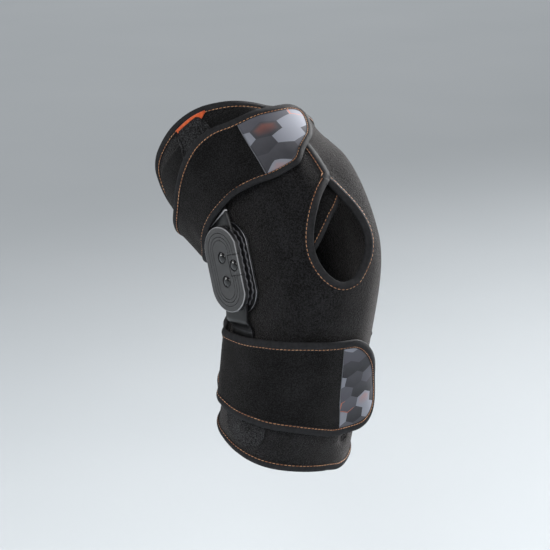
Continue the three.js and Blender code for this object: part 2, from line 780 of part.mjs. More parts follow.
function mirrored(geometry) {
  return geometry.clone().applyMatrix4(new THREE.Matrix4().makeScale(-1, 1, 1));
}

const coverFace = LAYERS.cover.from + LAYERS.cover.thick;
const pivotReach = coverFace - LAYERS.plate.from;
const stopReach = coverFace - LAYERS.coreInner.from;
const hingePieces = {
  hinge_cover: [onHinge(layer(coverShape(), LAYERS.cover.thick, 0.8), LAYERS.cover.from), plastic],
  hinge_insert: [onHinge(layer(insertShape(), LAYERS.cover.thick, 0.4), LAYERS.cover.from), plastic],
  hinge_core_outer: [
    onHinge(layer(coreShape(0), LAYERS.coreOuter.thick, 0), LAYERS.coreOuter.from),
    plastic,
  ],
  hinge_core_inner: [
    onHinge(layer(coreShape(Math.PI), LAYERS.coreInner.thick, 0), LAYERS.coreInner.from),
    plastic,
  ],
  hinge_plate: [onHinge(layer(plateShape(), LAYERS.plate.thick, 0.6), LAYERS.plate.from), coated],
  upper_arm: [arm(UPPER_ARM, PIVOT_HALF), coated],
  lower_arm: [arm(LOWER_ARM, -PIVOT_HALF), coated],
  rivet_upper: [onHinge(rivet(0, PIVOT_HALF, pivotReach), coverFace), gloss],
  rivet_lower: [onHinge(rivet(0, -PIVOT_HALF, pivotReach), coverFace), gloss],
  rivet_stop: [onHinge(rivet(STOP_RIVET.forward, STOP_RIVET.up, stopReach), coverFace), gloss],
};
for (const [name, [geometry, look]] of Object.entries(hingePieces)) {
  add(`lateral_${name}`, geometry.clone(), look);
  add(`medial_${name}`, mirrored(geometry), look);
}

export default group;
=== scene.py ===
import math

import bmesh
import bpy
from mathutils import Matrix, Vector, noise


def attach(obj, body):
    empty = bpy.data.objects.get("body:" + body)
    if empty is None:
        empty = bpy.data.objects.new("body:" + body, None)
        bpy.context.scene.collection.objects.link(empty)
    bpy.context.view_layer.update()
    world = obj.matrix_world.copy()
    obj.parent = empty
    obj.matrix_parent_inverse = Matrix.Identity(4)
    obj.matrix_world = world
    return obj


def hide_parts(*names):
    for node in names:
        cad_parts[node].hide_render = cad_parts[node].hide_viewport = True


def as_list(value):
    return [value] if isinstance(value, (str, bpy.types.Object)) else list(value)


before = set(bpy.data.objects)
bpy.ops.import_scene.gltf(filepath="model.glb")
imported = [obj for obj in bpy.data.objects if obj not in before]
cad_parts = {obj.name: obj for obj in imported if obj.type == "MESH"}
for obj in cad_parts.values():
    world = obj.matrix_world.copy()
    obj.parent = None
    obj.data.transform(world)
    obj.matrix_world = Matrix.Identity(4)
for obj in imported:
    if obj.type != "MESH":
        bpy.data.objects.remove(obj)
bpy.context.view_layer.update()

# Tables and sizes are in millimetres, and leg_point and the hinge's matrix turn them into metres.
# A place on the leg is around, in degrees from the front towards the outer side,
# and along, up its centre line.
MM = 0.001


def table(columns, *rows):
    """rows as dictionaries by column, each with its own step"""
    names = columns.split()
    return [dict(zip(names, row), step=step) for step, row in enumerate(rows)]


# the leg's form, to the sleeve's outer face
CALF_LEAN = -6
THIGH_LEAN = 50
BEND_HALF = 45
SQUARENESS = 2.3
SECTIONS = table(
    "along side front back",
    (-195, 54.5, 50, 60),
    (-180, 55.5, 51, 61),
    (-120, 58, 57, 58.5),
    (-60, 58, 67, 53.5),
    (0, 57, 75, 51),
    (45, 60, 74, 57),
    (85, 66, 69, 64),
    (130, 71, 66, 69),
    (150, 72, 65, 71),
)
# fullness of the knee's inner front
INNER_BULGE = 7.5
# how far the cloth is drawn in at the calf's outer back
CALF_DRAWN = 3

# cloth
SLEEVE_THICK = 3
STRAP_THICK = 2.6
STRAP_CLOTH = 2
TAPE_THICK = 0.5
TAPE_GAP = 0.12
TAPE_WIDE = 5.4
LAP_LIFT = 5.4
TOP_RIM = table(
    "around along",
    (-180, 90), (-136, 93), (-103, 96), (-66, 97), (-41, 96.5), (-20, 96), (-4, 97), (4, 100.5),
    (10, 106), (21, 114.3), (30, 120), (45, 127), (66, 129.4), (84, 128.4), (96, 125.8), (106, 120.8),
    (114, 113.5), (136, 97), (180, 90),
)
BOTTOM_RIM = table(
    "around along",
    (-180, -157), (-110, -164), (-64, -174), (-28, -181), (-15, -181), (0, -177),
    (17, -173.5), (36, -171), (64, -169), (89, -166.5), (110, -162), (180, -157),
)
# front edges of the sleeve: the kneecap window, and above it the outer flap over the inner one
FRONT_EDGES = table(
    "along outer inner",
    (-18.7, 6.3, 6.3),
    (-17.8, 12, -0.8),
    (-15.6, 17.8, -5.2),
    (-12, 23.5, -10.7),
    (-7, 28, -16.6),
    (-1, 30.4, -19.6),
    (5, 29.5, -19.3),
    (11, 26, -16.5),
    (17, 20.5, -12.3),
    (22, 14.1, -8.1),
    (26, 7.6, -5),
    (29.5, 1.2, -2.6),
    (33, -1, 4),
    (40, -1, 10),
    (55, -1, 14),
)
# the step of those rows where the outer flap has its corner
FLAP_CORNER = 11
THIGH_PANEL = table(
    "around low high",
    (12, 52, 100), (20, 52, 106.5), (28, 51, 109.3), (43, 50, 111.5), (80, 52, 113), (100, 52, 113),
    (113, 52, 103), (136, 52, 85), (180, 52, 79), (240, 52, 84), (300, 52, 87),
)
# print is along and around at the ends of the printed film's slanted edge; tape is the lip's two widths
THIGH_STRAP = {
    "root": 297,
    "tip": {"around": -13, "along": 84, "high": 12, "high_square": 2.3, "low": 31, "low_square": 1.45},
    "edges": table(
        "around low high",
        (-13, 39, 94.5), (5, 39.4, 94.5), (16, 39.6, 95.6), (29, 39.1, 96.6), (47, 41.2, 100),
        (62, 43.6, 100), (75, 44, 96), (87, 43.4, 90), (96, 39, 83.2), (106, 33.4, 78.8), (120, 28.8, 77),
        (135, 27.6, 76), (180, 33, 74), (240, 39, 77), (282, 43.5, 80), (297, 44, 80),
    ),
    "print": {"low": (43, 40), "high": (92.5, 32.7)},
    "tape": (5.4, 3.9),
}
CALF_STRAP = {
    "root": 297,
    "tip": {"around": -45, "along": -112, "high": 46, "high_square": 1.4, "low": 25, "low_square": 2.1},
    "edges": table(
        "around low high",
        (-45, -142.5, -48.5), (-17, -142.5, -48.5), (0, -140.8, -48.3), (9, -137.5, -47.5),
        (24, -133, -46.8), (46, -128.8, -46.8), (67, -126.4, -49.4), (88, -125.7, -55.2),
        (101, -122.5, -57), (140, -118, -60), (180, -114, -62), (240, -112, -65), (297, -112, -66),
    ),
    "print": {"low": (-130, -1.6), "high": (-55, 7.3)},
    "tape": (6, 6.3),
}
TONGUE = {"from": -13, "to": 32, "top": 50, "out": -6.2, "thick": 1.6, "tape": 3.4}
PANEL = {"from": 12, "to": 300, "out": 2.3, "thick": 1.6}
UPPER_TAB = {
    "from": 47.5, "to": 81.5, "slant": 10, "low": 93, "end": 121.2, "round": 6, "out": 3.7, "thick": 1.4,
}
LOWER_TAB = {
    "from": 62, "to": 100, "slant": 0, "low": -115, "end": -155.5, "round": 19, "out": 2.2, "thick": 1.4,
}
PULL = {"from": 43, "to": 69.5, "low": 117.6, "out": 2.5, "thick": 1.2, "long": 33, "wide": 8}

# hinge, drawn with forward as x, up the hinge as y and out from the leg's middle as z
HINGE_Y = 1
HINGE_Z = 3
HINGE_LEAN = 18
PIVOT_HALF = 10
STOP_RIVET = (13.6, 2.5)
INSERT = {"back": 8, "low": -5.7, "high": 11.2}
COVER = {"straight": 14.5, "radius": 21.5, "front": 20.3}
CORE = {"straight": 14.5, "radius": 21.2, "front": 20.6}
PLATE = {"straight": 16, "radius": 23, "front": 22.4}
RIVET = {"head": 4.2, "dome": 1.4, "shank": 2.6, "seat": 0.1, "brim": 0.5}
# low face and thickness of each layer
LAYERS = {
    "plate": (60.7, 2.2),
    "core_inner": (63.2, 1.6),
    "arm": (65.1, 2.6),
    "core_outer": (68, 1.6),
    "cover": (69.9, 3.8),
}
# crease is the step of the bend line that takes a painted highlight
UPPER_ARM = {
    "off": 3.4,
    "crease": 2.04,
    "skew": 0.23,
    "line": table(
        "y z half laid",
        (4.1, 12.5, 12, 0), (9, 27, 12.5, 0), (16, 42, 12.5, 0),
        (22, 48.5, 12, 1), (37, 64, 11.5, 1), (52, 79, 11, 1),
    ),
}
LOWER_ARM = {
    "off": 1.8,
    "crease": 2.96,
    "skew": 0,
    "line": table(
        "y z half laid",
        (-2.1, -6.5, 12, 0), (-6, -28, 13, 0), (-6.6, -39, 13, 0),
        (-7.3, -50, 12.5, 1), (-7.5, -82, 12, 1), (-7.5, -110, 12, 1),
    ),
}


# Camera

AIM = Vector((-0.0138, 0.0061, -0.0146))
TOWARDS_CAMERA = Vector((-0.6274, -0.7217, 0.2924))
CAMERA_DISTANCE = 1.6
CAMERA_LENS = 123.2


def set_camera():
    data = bpy.data.cameras.new("camera")
    data.lens = CAMERA_LENS
    data.clip_end = 50
    camera = bpy.data.objects.new("camera", data)
    camera.location = AIM + TOWARDS_CAMERA * CAMERA_DISTANCE
    camera.rotation_euler = (-TOWARDS_CAMERA).to_track_quat("-Z", "Y").to_euler()
    bpy.context.scene.collection.objects.link(camera)
    bpy.context.scene.camera = camera


# Curves through the tables

def clamp(value, low=0.0, high=1.0):
    return min(max(value, low), high)


def lerp(a, b, share):
    return a + (b - a) * share


def ramp(value, start, end):
    t = clamp((value - start) / (end - start))
    return t * t * (3 - 2 * t)


def between(value, a, b, c, d):
    return ramp(value, a, b) * ramp(value, d, c)


def read(rows, key, column, place):
    """a column's value at a place, on a smooth curve through the rows"""
    last = len(rows) - 1
    at = clamp(place, rows[0][key], rows[last][key])
    i = 0
    while i < last - 1 and at > rows[i + 1][key]:
        i += 1

    def slope(n):
        a, b = rows[max(n - 1, 0)], rows[min(n + 1, last)]
        return (b[column] - a[column]) / (b[key] - a[key])

    wide = rows[i + 1][key] - rows[i][key]
    t = (at - rows[i][key]) / wide
    rise = t * t * (3 - 2 * t)
    start = t * (1 - t) * (1 - t) * wide * slope(i)
    end = t * t * (t - 1) * wide * slope(i + 1)
    return lerp(rows[i][column], rows[i + 1][column], rise) + start + end


# The leg's form

LEAN_MIDDLE = math.radians((CALF_LEAN + THIGH_LEAN) / 2)
LEAN_CURVE = math.radians(THIGH_LEAN - CALF_LEAN) / (2 * BEND_HALF)


def leg_axis(along):
    bent = clamp(along, -BEND_HALF, BEND_HALF)
    lean = LEAN_MIDDLE + LEAN_CURVE * bent
    rest = along - bent
    y = (math.cos(LEAN_MIDDLE) - math.cos(lean)) / LEAN_CURVE + rest * math.sin(lean)
    z = (math.sin(lean) - math.sin(LEAN_MIDDLE)) / LEAN_CURVE + rest * math.cos(lean)
    return y, z, lean


def from_front(around):
    """the same angle from -180 to 180"""
    return (around + 180) % 360 - 180


def inner_bulge(around, along):
    return INNER_BULGE * between(from_front(around), -76, -50, -36, -4) * between(along, -46, 2, 36, 88)


def calf_waist(around, along):
    """the cloth is drawn in at the outer back of the calf, under the strap"""
    return CALF_DRAWN * between(around % 360, 102, 126, 150, 205) * between(along, -165, -118, -62, -34)


def leg_point(around, along, clear):
    y, z, lean = leg_axis(along)
    off = clear + inner_bulge(around, along) - calf_waist(around, along)
    angle = math.radians(around)

    def power(part):
        return math.copysign(abs(part) ** (2 / SQUARENESS), part)

    across, ahead = power(math.sin(angle)), power(math.cos(angle))
    side = read(SECTIONS, "along", "side", along) + off
    depth = read(SECTIONS, "along", "front" if ahead > 0 else "back", along) + off
    forward = ahead * depth
    return MM * Vector((-across * side, y - forward * math.cos(lean), z + forward * math.sin(lean)))


def leg_side(y, z):
    """half width of the leg at a point of the side view"""
    turned = math.atan2(z + math.sin(LEAN_MIDDLE) / LEAN_CURVE, math.cos(LEAN_MIDDLE) / LEAN_CURVE - y)
    near = clamp((turned - LEAN_MIDDLE) / LEAN_CURVE, -BEND_HALF, BEND_HALF)
    foot_y, foot_z, lean = leg_axis(near)
    dy, dz = y - foot_y, z - foot_z
    along = near + dy * math.sin(lean) + dz * math.cos(lean)
    ahead = dz * math.sin(lean) - dy * math.cos(lean)
    depth = read(SECTIONS, "along", "front" if ahead > 0 else "back", along)
    share = 1 - abs(ahead / depth) ** SQUARENESS
    return read(SECTIONS, "along", "side", along) * share ** (1 / SQUARENESS)


def rim(rows, around):
    return read(rows, "around", "along", from_front(around))


def flap_lift(around, along):
    return LAP_LIFT * ramp(around, 48, 16) * ramp(along, -4, 22)


def soft(around, along, pitch, depth):
    """gentle unevenness of worn cloth"""
    angle = math.radians(around)
    spot = Vector((60 * math.sin(angle), 60 * math.cos(angle), along)) / pitch
    return depth * noise.noise(spot)


# Shader values and finishes

class Wire:
    """a shader socket whose arithmetic adds Math nodes"""

    def __init__(self, finish, socket):
        self.finish = finish
        self.socket = socket

    def math(self, operation, *values):
        inputs = dict(enumerate(values))
        return self.finish.node("Math", {"operation": operation}, inputs)

    def __add__(self, other):
        return self.math("ADD", self, other)

    def __radd__(self, other):
        return self.math("ADD", other, self)

    def __sub__(self, other):
        return self.math("SUBTRACT", self, other)

    def __rsub__(self, other):
        return self.math("SUBTRACT", other, self)

    def __mul__(self, other):
        return self.math("MULTIPLY", self, other)

    def __rmul__(self, other):
        return self.math("MULTIPLY", other, self)

    def __truediv__(self, other):
        return self.math("DIVIDE", self, other)

    def __lt__(self, other):
        return self.math("LESS_THAN", self, other)

    def __gt__(self, other):
        return self.math("GREATER_THAN", self, other)

    def __abs__(self):
        return self.math("ABSOLUTE", self)

    def fract(self):
        return self.math("FRACT", self)

    def round(self):
        return self.math("ROUND", self)

    def wave(self):
        return self.math("SINE", self)

    def most(self, other):
        return self.math("MAXIMUM", self, other)

    def rising(self, start, end):
        """0 below start, 1 above end"""
        inputs = {"Value": self, "From Min": start, "From Max": end}
        return self.finish.node("MapRange", {"interpolation_type": "SMOOTHSTEP"}, inputs)


def paint(code):
    """a linear colour from a hex code"""
    def linear(part):
        return part / 12.92 if part <= 0.04045 else ((part + 0.055) / 1.055) ** 2.4

    return tuple(linear(int(code[i:i + 2], 16) / 255) for i in (0, 2, 4)) + (1.0,)


class Finish:
    """one procedural material on a Principled shader"""

    def __init__(self, name, **sockets):
        self.material = bpy.data.materials.new(name)
        self.material.use_nodes = True
        self.tree = self.material.node_tree
        self.shader = self.tree.nodes["Principled BSDF"]
        for socket, value in sockets.items():
            self.set(socket.replace("_", " "), value)

    def feed(self, socket, value):
        if isinstance(value, Wire):
            self.tree.links.new(value.socket, socket)
        else:
            socket.default_value = value

    def set(self, socket, value):
        self.feed(self.shader.inputs[socket], value)

    def node(self, kind, settings=None, inputs=None, out=0):
        made = self.tree.nodes.new("ShaderNode" + kind)
        for name, value in (settings or {}).items():
            if name == "stops":
                for spare in list(made.color_ramp.elements)[1:]:
                    made.color_ramp.elements.remove(spare)
                made.color_ramp.elements[0].position = value[0][0]
                made.color_ramp.elements[0].color = value[0][1]
                for position, colour in value[1:]:
                    made.color_ramp.elements.new(position).color = colour
            elif name == "interpolation":
                made.color_ramp.interpolation = value
            else:
                setattr(made, name, value)
        for socket, value in (inputs or {}).items():
            self.feed(made.inputs[socket], value)
        return Wire(self, made.outputs[out])

    def place(self):
        return self.node("TexCoord", out="Object")

    def laid(self):
        """the cloth's own width and length, in metres"""
        flat = self.node("UVMap", {"uv_map": "weave"})
        return [self.node("SeparateXYZ", inputs={0: flat}, out=axis) for axis in ("X", "Y")]

    def grain(self, scale, detail=3, rough=0.6, where=None):
        inputs = {"Vector": where or self.place(), "Scale": scale, "Detail": detail, "Roughness": rough}
        return self.node("TexNoise", inputs=inputs)

    def blend(self, share, a, b):
        return self.node("Mix", {"data_type": "RGBA"}, {0: share, 6: a, 7: b}, out=2)

    def relief(self, height, depth, strength=1.0):
        bump = self.node("Bump", inputs={"Strength": strength, "Distance": depth * MM, "Height": height})
        self.set("Normal", bump)


def velour(name, dark, light, tuft_scale, tuft_depth, sheen):
    """brushed loop cloth: short tufts over cloudy wear, with a grey sheen at the edges"""
    cloth = Finish(name, Roughness=0.95, Specular_IOR_Level=0.12, Sheen_Weight=sheen, Sheen_Roughness=0.42,
                   Sheen_Tint=paint("b9b4b2"))
    tuft = cloth.grain(tuft_scale, 3, 0.7)
    cloud = cloth.grain(45, 3, 0.5)
    lint = cloth.grain(2600, 1, 0.5)
    shade = (tuft * 0.55 + lint * 0.4 + cloud * 0.15).rising(0.46, 0.68)
    cloth.set("Base Color", cloth.blend(shade, paint(dark), paint(light)))
    cloth.relief(tuft * 0.7 + lint * 0.4, tuft_depth)
    return cloth.material


def binding_tape(name, dark, light):
    """knitted tape: fine ribs across its length"""
    tape = Finish(name, Roughness=0.68, Specular_IOR_Level=0.07, Sheen_Weight=0.03, Sheen_Roughness=0.3,
                  Sheen_Tint=paint("b8b8bc"))
    run, across = tape.laid()
    rib = (run * (2 * math.pi / 0.0011)).wave() * 0.5 + 0.5
    course = (across * (2 * math.pi / 0.0008)).wave() * 0.5 + 0.5
    slub = tape.grain(300, 3, 0.6)
    shade = (rib * 0.2 + course * 0.15 + slub * 0.8).rising(0.2, 0.95)
    tape.set("Base Color", tape.blend(shade, paint(dark), paint(light)))
    tape.relief(rib * 0.5 + course * 0.3 + slub * 0.4, 0.1)
    return tape.material


def thread(name, dark, light):
    yarn = Finish(name, Roughness=0.55, Sheen_Weight=0.2)
    shade = yarn.grain(160, 2)
    yarn.set("Base Color", yarn.blend(shade.rising(0.3, 0.7), paint(dark), paint(light)))
    yarn.relief(yarn.grain(4000, 1), 0.05)
    return yarn.material


HEXAGON_WIDE = 0.0146
ROOT_3 = math.sqrt(3)


def hexagon_print(name):
    """matte film printed with a honeycomb of greys, a few cells edged or tinted orange"""
    film = Finish(name, Specular_IOR_Level=0.12)
    run, across = film.laid()
    x, y = run / HEXAGON_WIDE, across / HEXAGON_WIDE

    def cell(dx, dy):
        a = (x - dx).fract() - 0.5
        b = ((y - dy) / ROOT_3).fract() * ROOT_3 - ROOT_3 / 2
        return a, b, a * a + b * b

    ax, ay, a_far = cell(0, 0)
    bx, by, b_far = cell(0.5, ROOT_3 / 2)
    first = a_far < b_far
    gx = ax * first + bx * (1 - first)
    gy = ay * first + by * (1 - first)
    column = ((x - gx) * 2).round()
    row = ((y - gy) / (ROOT_3 / 2)).round()

    def chance(draw):
        spot = film.node("CombineXYZ", inputs={"X": column, "Y": row, "Z": draw})
        return film.node("TexWhiteNoise", inputs={"Vector": spot}, out="Value")

    tone, accent = chance(3.0), chance(11.0)
    edge = 0.5 - abs(gx).most(abs(gx) * 0.5 + abs(gy) * (ROOT_3 / 2))
    greys = [(0, paint("333337")), (0.3, paint("3f3f44")), (0.55, paint("56565e")), (0.74, paint("8f929c"))]
    shade = film.node("ValToRGB", {"stops": greys, "interpolation": "CONSTANT"}, {"Fac": tone})
    fade = (gy + 0.6).rising(0, 1.2)
    shade = film.blend(fade * 0.12, shade, paint("8b8d94"))
    glow = (accent > 0.94) * edge.rising(0.02, 0.3) * fade * 0.3
    shade = film.blend(glow, shade, paint("d2683f"))
    line = edge.rising(0.014, 0.022) - edge.rising(0.044, 0.052)
    outline = line * (accent < 0.13) * (gx - gy).rising(-0.1, 0.05)
    shade = film.blend(outline * 0.85, shade, paint("e07a52"))
    haze = film.grain(160, 3)
    film.set("Base Color", film.blend(haze * 0.08, shade, paint("a2a2a8")))
    film.set("Roughness", haze * 0.2 + 0.62)
    film.relief(film.grain(1900, 2), 0.1, 0.6)
    return film.material


def pull_webbing(name):
    web = Finish(name, Roughness=0.6, Sheen_Weight=0.2)
    run, across = web.laid()
    over = (run * (2 * math.pi / 0.0016)).wave() * (across * (2 * math.pi / 0.0016)).wave()
    shade = (over * 0.3 + web.grain(250, 3)).rising(0.1, 0.9)
    web.set("Base Color", web.blend(shade, paint("d8451a"), paint("ff7c38")))
    web.relief(over, 0.15)
    return web.material


def moulded_plastic(name, dark, light, rough):
    """charcoal moulding with a fine spark-eroded grain and a few handling marks"""
    shell = Finish(name, Specular_IOR_Level=0.5)
    speck = shell.grain(2200, 2)
    mark = shell.grain(90, 4, 0.7)
    shade = (speck * 0.4 + mark * 0.6).rising(0.25, 0.75)
    shell.set("Base Color", shell.blend(shade, paint(dark), paint(light)))
    shell.set("Roughness", mark * 0.18 + (rough - 0.09))
    shell.relief(speck, 0.05, 0.6)
    return shell.material


def powder_coat(name, dark, light, rough, metal):
    coat = Finish(name, Metallic=metal, Specular_IOR_Level=0.5)
    peel = coat.grain(900, 2)
    rub = coat.grain(70, 4, 0.65)
    coat.set("Base Color", coat.blend(rub.rising(0.35, 0.75), paint(dark), paint(light)))
    coat.set("Roughness", rub * 0.25 + (rough - 0.12))
    coat.relief(peel, 0.05, 0.5)
    return coat.material


def gloss_black(name):
    gloss = Finish(name, IOR=1.45, Coat_Weight=0.7, Coat_Roughness=0.03)
    dust = gloss.grain(1200, 3)
    gloss.set("Base Color", gloss.blend(dust.rising(0.62, 0.8), paint("050505"), paint("1a1a1a")))
    gloss.set("Roughness", dust * 0.12 + 0.05)
    return gloss.material


SLEEVE_VELOUR = velour("sleeve_velour", "030303", "303032", 700, 1.4, 0.4)
STRAP_VELOUR = velour("strap_velour", "070707", "29292a", 900, 0.7, 0.22)
TAB_VELOUR = velour("tab_loop", "050505", "4c4c4e", 760, 1.1, 0.15)
TAPE = binding_tape("binding_tape", "222223", "353537")
THREAD = thread("orange_thread", "b06a38", "f2b886")
PRINT = hexagon_print("hexagon_print")
WELT = moulded_plastic("print_welt", "5a5c62", "73757b", 0.5)
WEBBING = pull_webbing("orange_webbing")
COVER_PLASTIC = moulded_plastic("cover_plastic", "3a3a3b", "484849", 0.46)
# painted highlight: the cover's rounded rim is coloured light grey where it would catch the light
COVER_RIM_HIGHLIGHT = moulded_plastic("cover_rim_painted_highlight", "8a8a8c", "a4a4a6", 0.36)
# painted shade: a darker copy of the cover's plastic for its side walls, grooves and rivet wells, and for
# the cores' flat faces
COVER_SIDE_SHADE = moulded_plastic("cover_side_painted_shade", "1c1c1e", "28282a", 0.4)
# painted highlight: the cores' scalloped walls are a lighter grey, standing in for their edges catching the
# light
CORE_WALL_HIGHLIGHT = moulded_plastic("core_wall_painted_highlight", "4e4e52", "6a6a6e", 0.36)
COATED = powder_coat("black_powder_coat", "141415", "222224", 0.34, 0.0)
# rubbed bare metal on the plate's rounded edges, painted light to give their highlight line
BARE_EDGE_HIGHLIGHT = powder_coat("rubbed_edge_and_highlight", "6a6a6e", "a0a0a4", 0.3, 0.6)
# worn coating on the arms' rounded edges and the lower arm's bend, painted lighter to give their highlight
# lines
WORN_EDGE_HIGHLIGHT = powder_coat("worn_edge_and_highlight", "343437", "4e4e52", 0.32, 0.2)
# painted highlight along each arm's bend: near white on the upper arm, the worn edge finish on the lower
# one
CREASE_HIGHLIGHTS = {"upper_arm": powder_coat("crease_painted_highlight", "b8b8bc", "e2e2e4", 0.36, 0.2), "lower_arm": WORN_EDGE_HIGHLIGHT}
RIVET_GLOSS = gloss_black("rivet_gloss")


# Making pieces

def add_object(name, bm):
    """an object of the scene from a bmesh, which is used up"""
    mesh = bpy.data.meshes.new(name)
    bm.to_mesh(mesh)
    bm.free()
    made = bpy.data.objects.new(name, mesh)
    bpy.context.scene.collection.objects.link(made)
    return made


def piece(name, bm, slot, *finishes):
    made = add_object(name, bm)
    made.data.shade_smooth()
    for finish in finishes:
        made.data.materials.append(finish)
    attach(made, "root")
    return made


def lay(columns, rows, place, weave=None, flip=True):
    """a sheet whose corners lie where place(u, v) says; weave(u, v) is its flat place in millimetres"""
    bm = bmesh.new()
    flat = bm.loops.layers.uv.new("weave")
    bmesh.ops.create_grid(bm, x_segments=columns, y_segments=rows, size=0.5, calc_uvs=True)
    if weave:
        for face in bm.faces:
            for loop in face.loops:
                loop[flat].uv = [part * MM for part in weave(*loop[flat].uv)]
    for vert in bm.verts:
        vert.co = place(vert.co.x + 0.5, vert.co.y + 0.5)
    if flip:
        bmesh.ops.reverse_faces(bm, faces=bm.faces)
    return bm


def thicken(made, thick, offset=-1.0):
    shell = made.modifiers.new("thickness", "SOLIDIFY")
    shell.thickness = thick * MM
    shell.offset = offset


def round_edges(made, wide, segments=2, finish=-1):
    edge = made.modifiers.new("edges", "BEVEL")
    edge.width = wide * MM
    edge.segments = segments
    edge.limit_method = "ANGLE"
    edge.angle_limit = math.radians(40)
    edge.material = finish


# Edges of cloth: a path of places on the leg, with the cloth on one side of it

TAPE_PITCH = 1.1
STITCH_EVERY = 3
STITCH_IN = 1.0
STITCH = (1.4, 0.31, 0.28)
MITRE_RUN = 8


def even_path(places, face, passes):
    """the same path with places TAPE_PITCH apart, corners eased"""
    spots = [leg_point(around, along, face(around, along)) for around, along in places]
    runs = [0.0]
    for a, b in zip(spots, spots[1:]):
        runs.append(runs[-1] + (b - a).length / MM)
    count = max(round(runs[-1] / TAPE_PITCH), 2)
    path, i = [], 0
    for n in range(count + 1):
        at = runs[-1] * n / count
        while i < len(runs) - 2 and runs[i + 1] < at:
            i += 1
        share = clamp((at - runs[i]) / max(runs[i + 1] - runs[i], 1e-9))
        path.append(tuple(lerp(a, b, share) for a, b in zip(places[i], places[i + 1])))
    for _ in range(passes):
        eased = []
        for three in zip(path, path[1:], path[2:]):
            eased.append(tuple((a + 2 * b + c) / 4 for a, b, c in zip(*three)))
        path = [path[0], *eased, path[-1]]
    return path


def edge_ribs(path, face, side, mitre):
    """each place with how far around and along one millimetre into the cloth takes it;
    mitre is the slope of the first and of the last rib"""
    ribs = []
    last = len(path) - 1
    for i, (around, along) in enumerate(path):
        off = face(around, along)
        at = leg_point(around, along, off)
        run = leg_point(*path[min(i + 1, last)], off) - leg_point(*path[max(i - 1, 0)], off)
        turn = (leg_point(around + 0.5, along, off) - at) * 2
        rise = (leg_point(around, along + 0.5, off) - at) * 2
        slope = mitre[0] * clamp(1 - i * TAPE_PITCH / MITRE_RUN)
        slope -= mitre[1] * clamp(1 - (last - i) * TAPE_PITCH / MITRE_RUN)
        inward = turn.cross(rise).cross(run).normalized() * side
        inward = (inward + slope * run.normalized()) * MM
        tt, rr, tr = turn.dot(turn), rise.dot(rise), turn.dot(rise)
        ti, ri = turn.dot(inward), rise.dot(inward)
        whole = tt * rr - tr * tr
        ribs.append((around, along, (ti * rr - ri * tr) / whole, (ri * tt - ti * tr) / whole))
    return ribs


def into_cloth(rib, deep):
    around, along, turn, rise = rib
    return around + turn * deep, along + rise * deep


OUTER_LIP = (1, 0.94, 0.88, 0.81, 0.74, 0.65, 0.5, 0.35, 0.2, 0.08, 0)
INNER_LIP = (0, 0.4, 1)
FOLD_STEPS = 7
TAPE_PUFF = 0.7
STITCH_SINK = 0.16


def tape_puff(share):
    """the tape stands up between its fold and its stitches, and sinks under them"""
    sewn = 1 - STITCH_IN / TAPE_WIDE
    sunk = STITCH_SINK * math.exp(-((share - sewn) / 0.05) ** 2)
    return TAPE_PUFF * math.sin(math.pi * clamp(share / sewn)) - sunk


def fold_section():
    """the tape's section from its outer lip round the edge to its inner lip: depth share, turn, puff"""
    lip = [(share, 90, tape_puff(share)) for share in OUTER_LIP]
    fold = [(0, 90 - 180 * i / FOLD_STEPS, 0) for i in range(1, FOLD_STEPS)]
    back = [(share, -90, 0) for share in INNER_LIP]
    return lip + fold + back


def fold_tape(name, ribs, outer, inner, side, node, widths):
    section = fold_section()

    def place(u, v):
        step = round(u * (len(ribs) - 1))
        rib = ribs[step]
        share, angle, puff = section[round(v * (len(section) - 1))]
        half = (outer(*rib[:2]) - inner(*rib[:2])) / 2 + TAPE_GAP
        deep = share * widths[step] - half * math.cos(math.radians(angle)) * (share == 0)
        spot = into_cloth(rib, deep)
        middle = (outer(*spot) + inner(*spot)) / 2
        return leg_point(*spot, middle + half * math.sin(math.radians(angle)) + puff)

    def weave(u, v):
        return u * len(ribs) * TAPE_PITCH, v * (2 * TAPE_WIDE + 5)

    bm = lay(len(ribs) - 1, len(section) - 1, place, weave, side < 0)
    tape = piece(name, bm, "tape", TAPE)
    thicken(tape, TAPE_THICK, 1.0)
    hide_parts(node)
    return tape


LENGTHWAYS = Matrix.Rotation(math.radians(90), 4, "Y")
STITCH_SLANT = Matrix.Rotation(math.radians(6), 4, "Z")


def sew(name, places, face):
    """one stitch from each place to the next"""
    spots = [(leg_point(*place, face(*place)), leg_point(*place, face(*place) + 1)) for place in places]
    bm = bmesh.new()
    for (a, a_out), (b, b_out) in zip(spots, spots[1:]):
        run = (b - a).normalized()
        across = (a_out - a + b_out - b).cross(run).normalized()
        spot = Matrix((run, across, run.cross(across))).transposed().to_4x4()
        spot.translation = (a + b) / 2
        size = Matrix.Diagonal([part * MM for part in STITCH] + [1])
        form = spot @ STITCH_SLANT @ size @ LENGTHWAYS
        bmesh.ops.create_uvsphere(bm, u_segments=8, v_segments=5, radius=1, matrix=form)
    return piece(name, bm, "bright", THREAD)


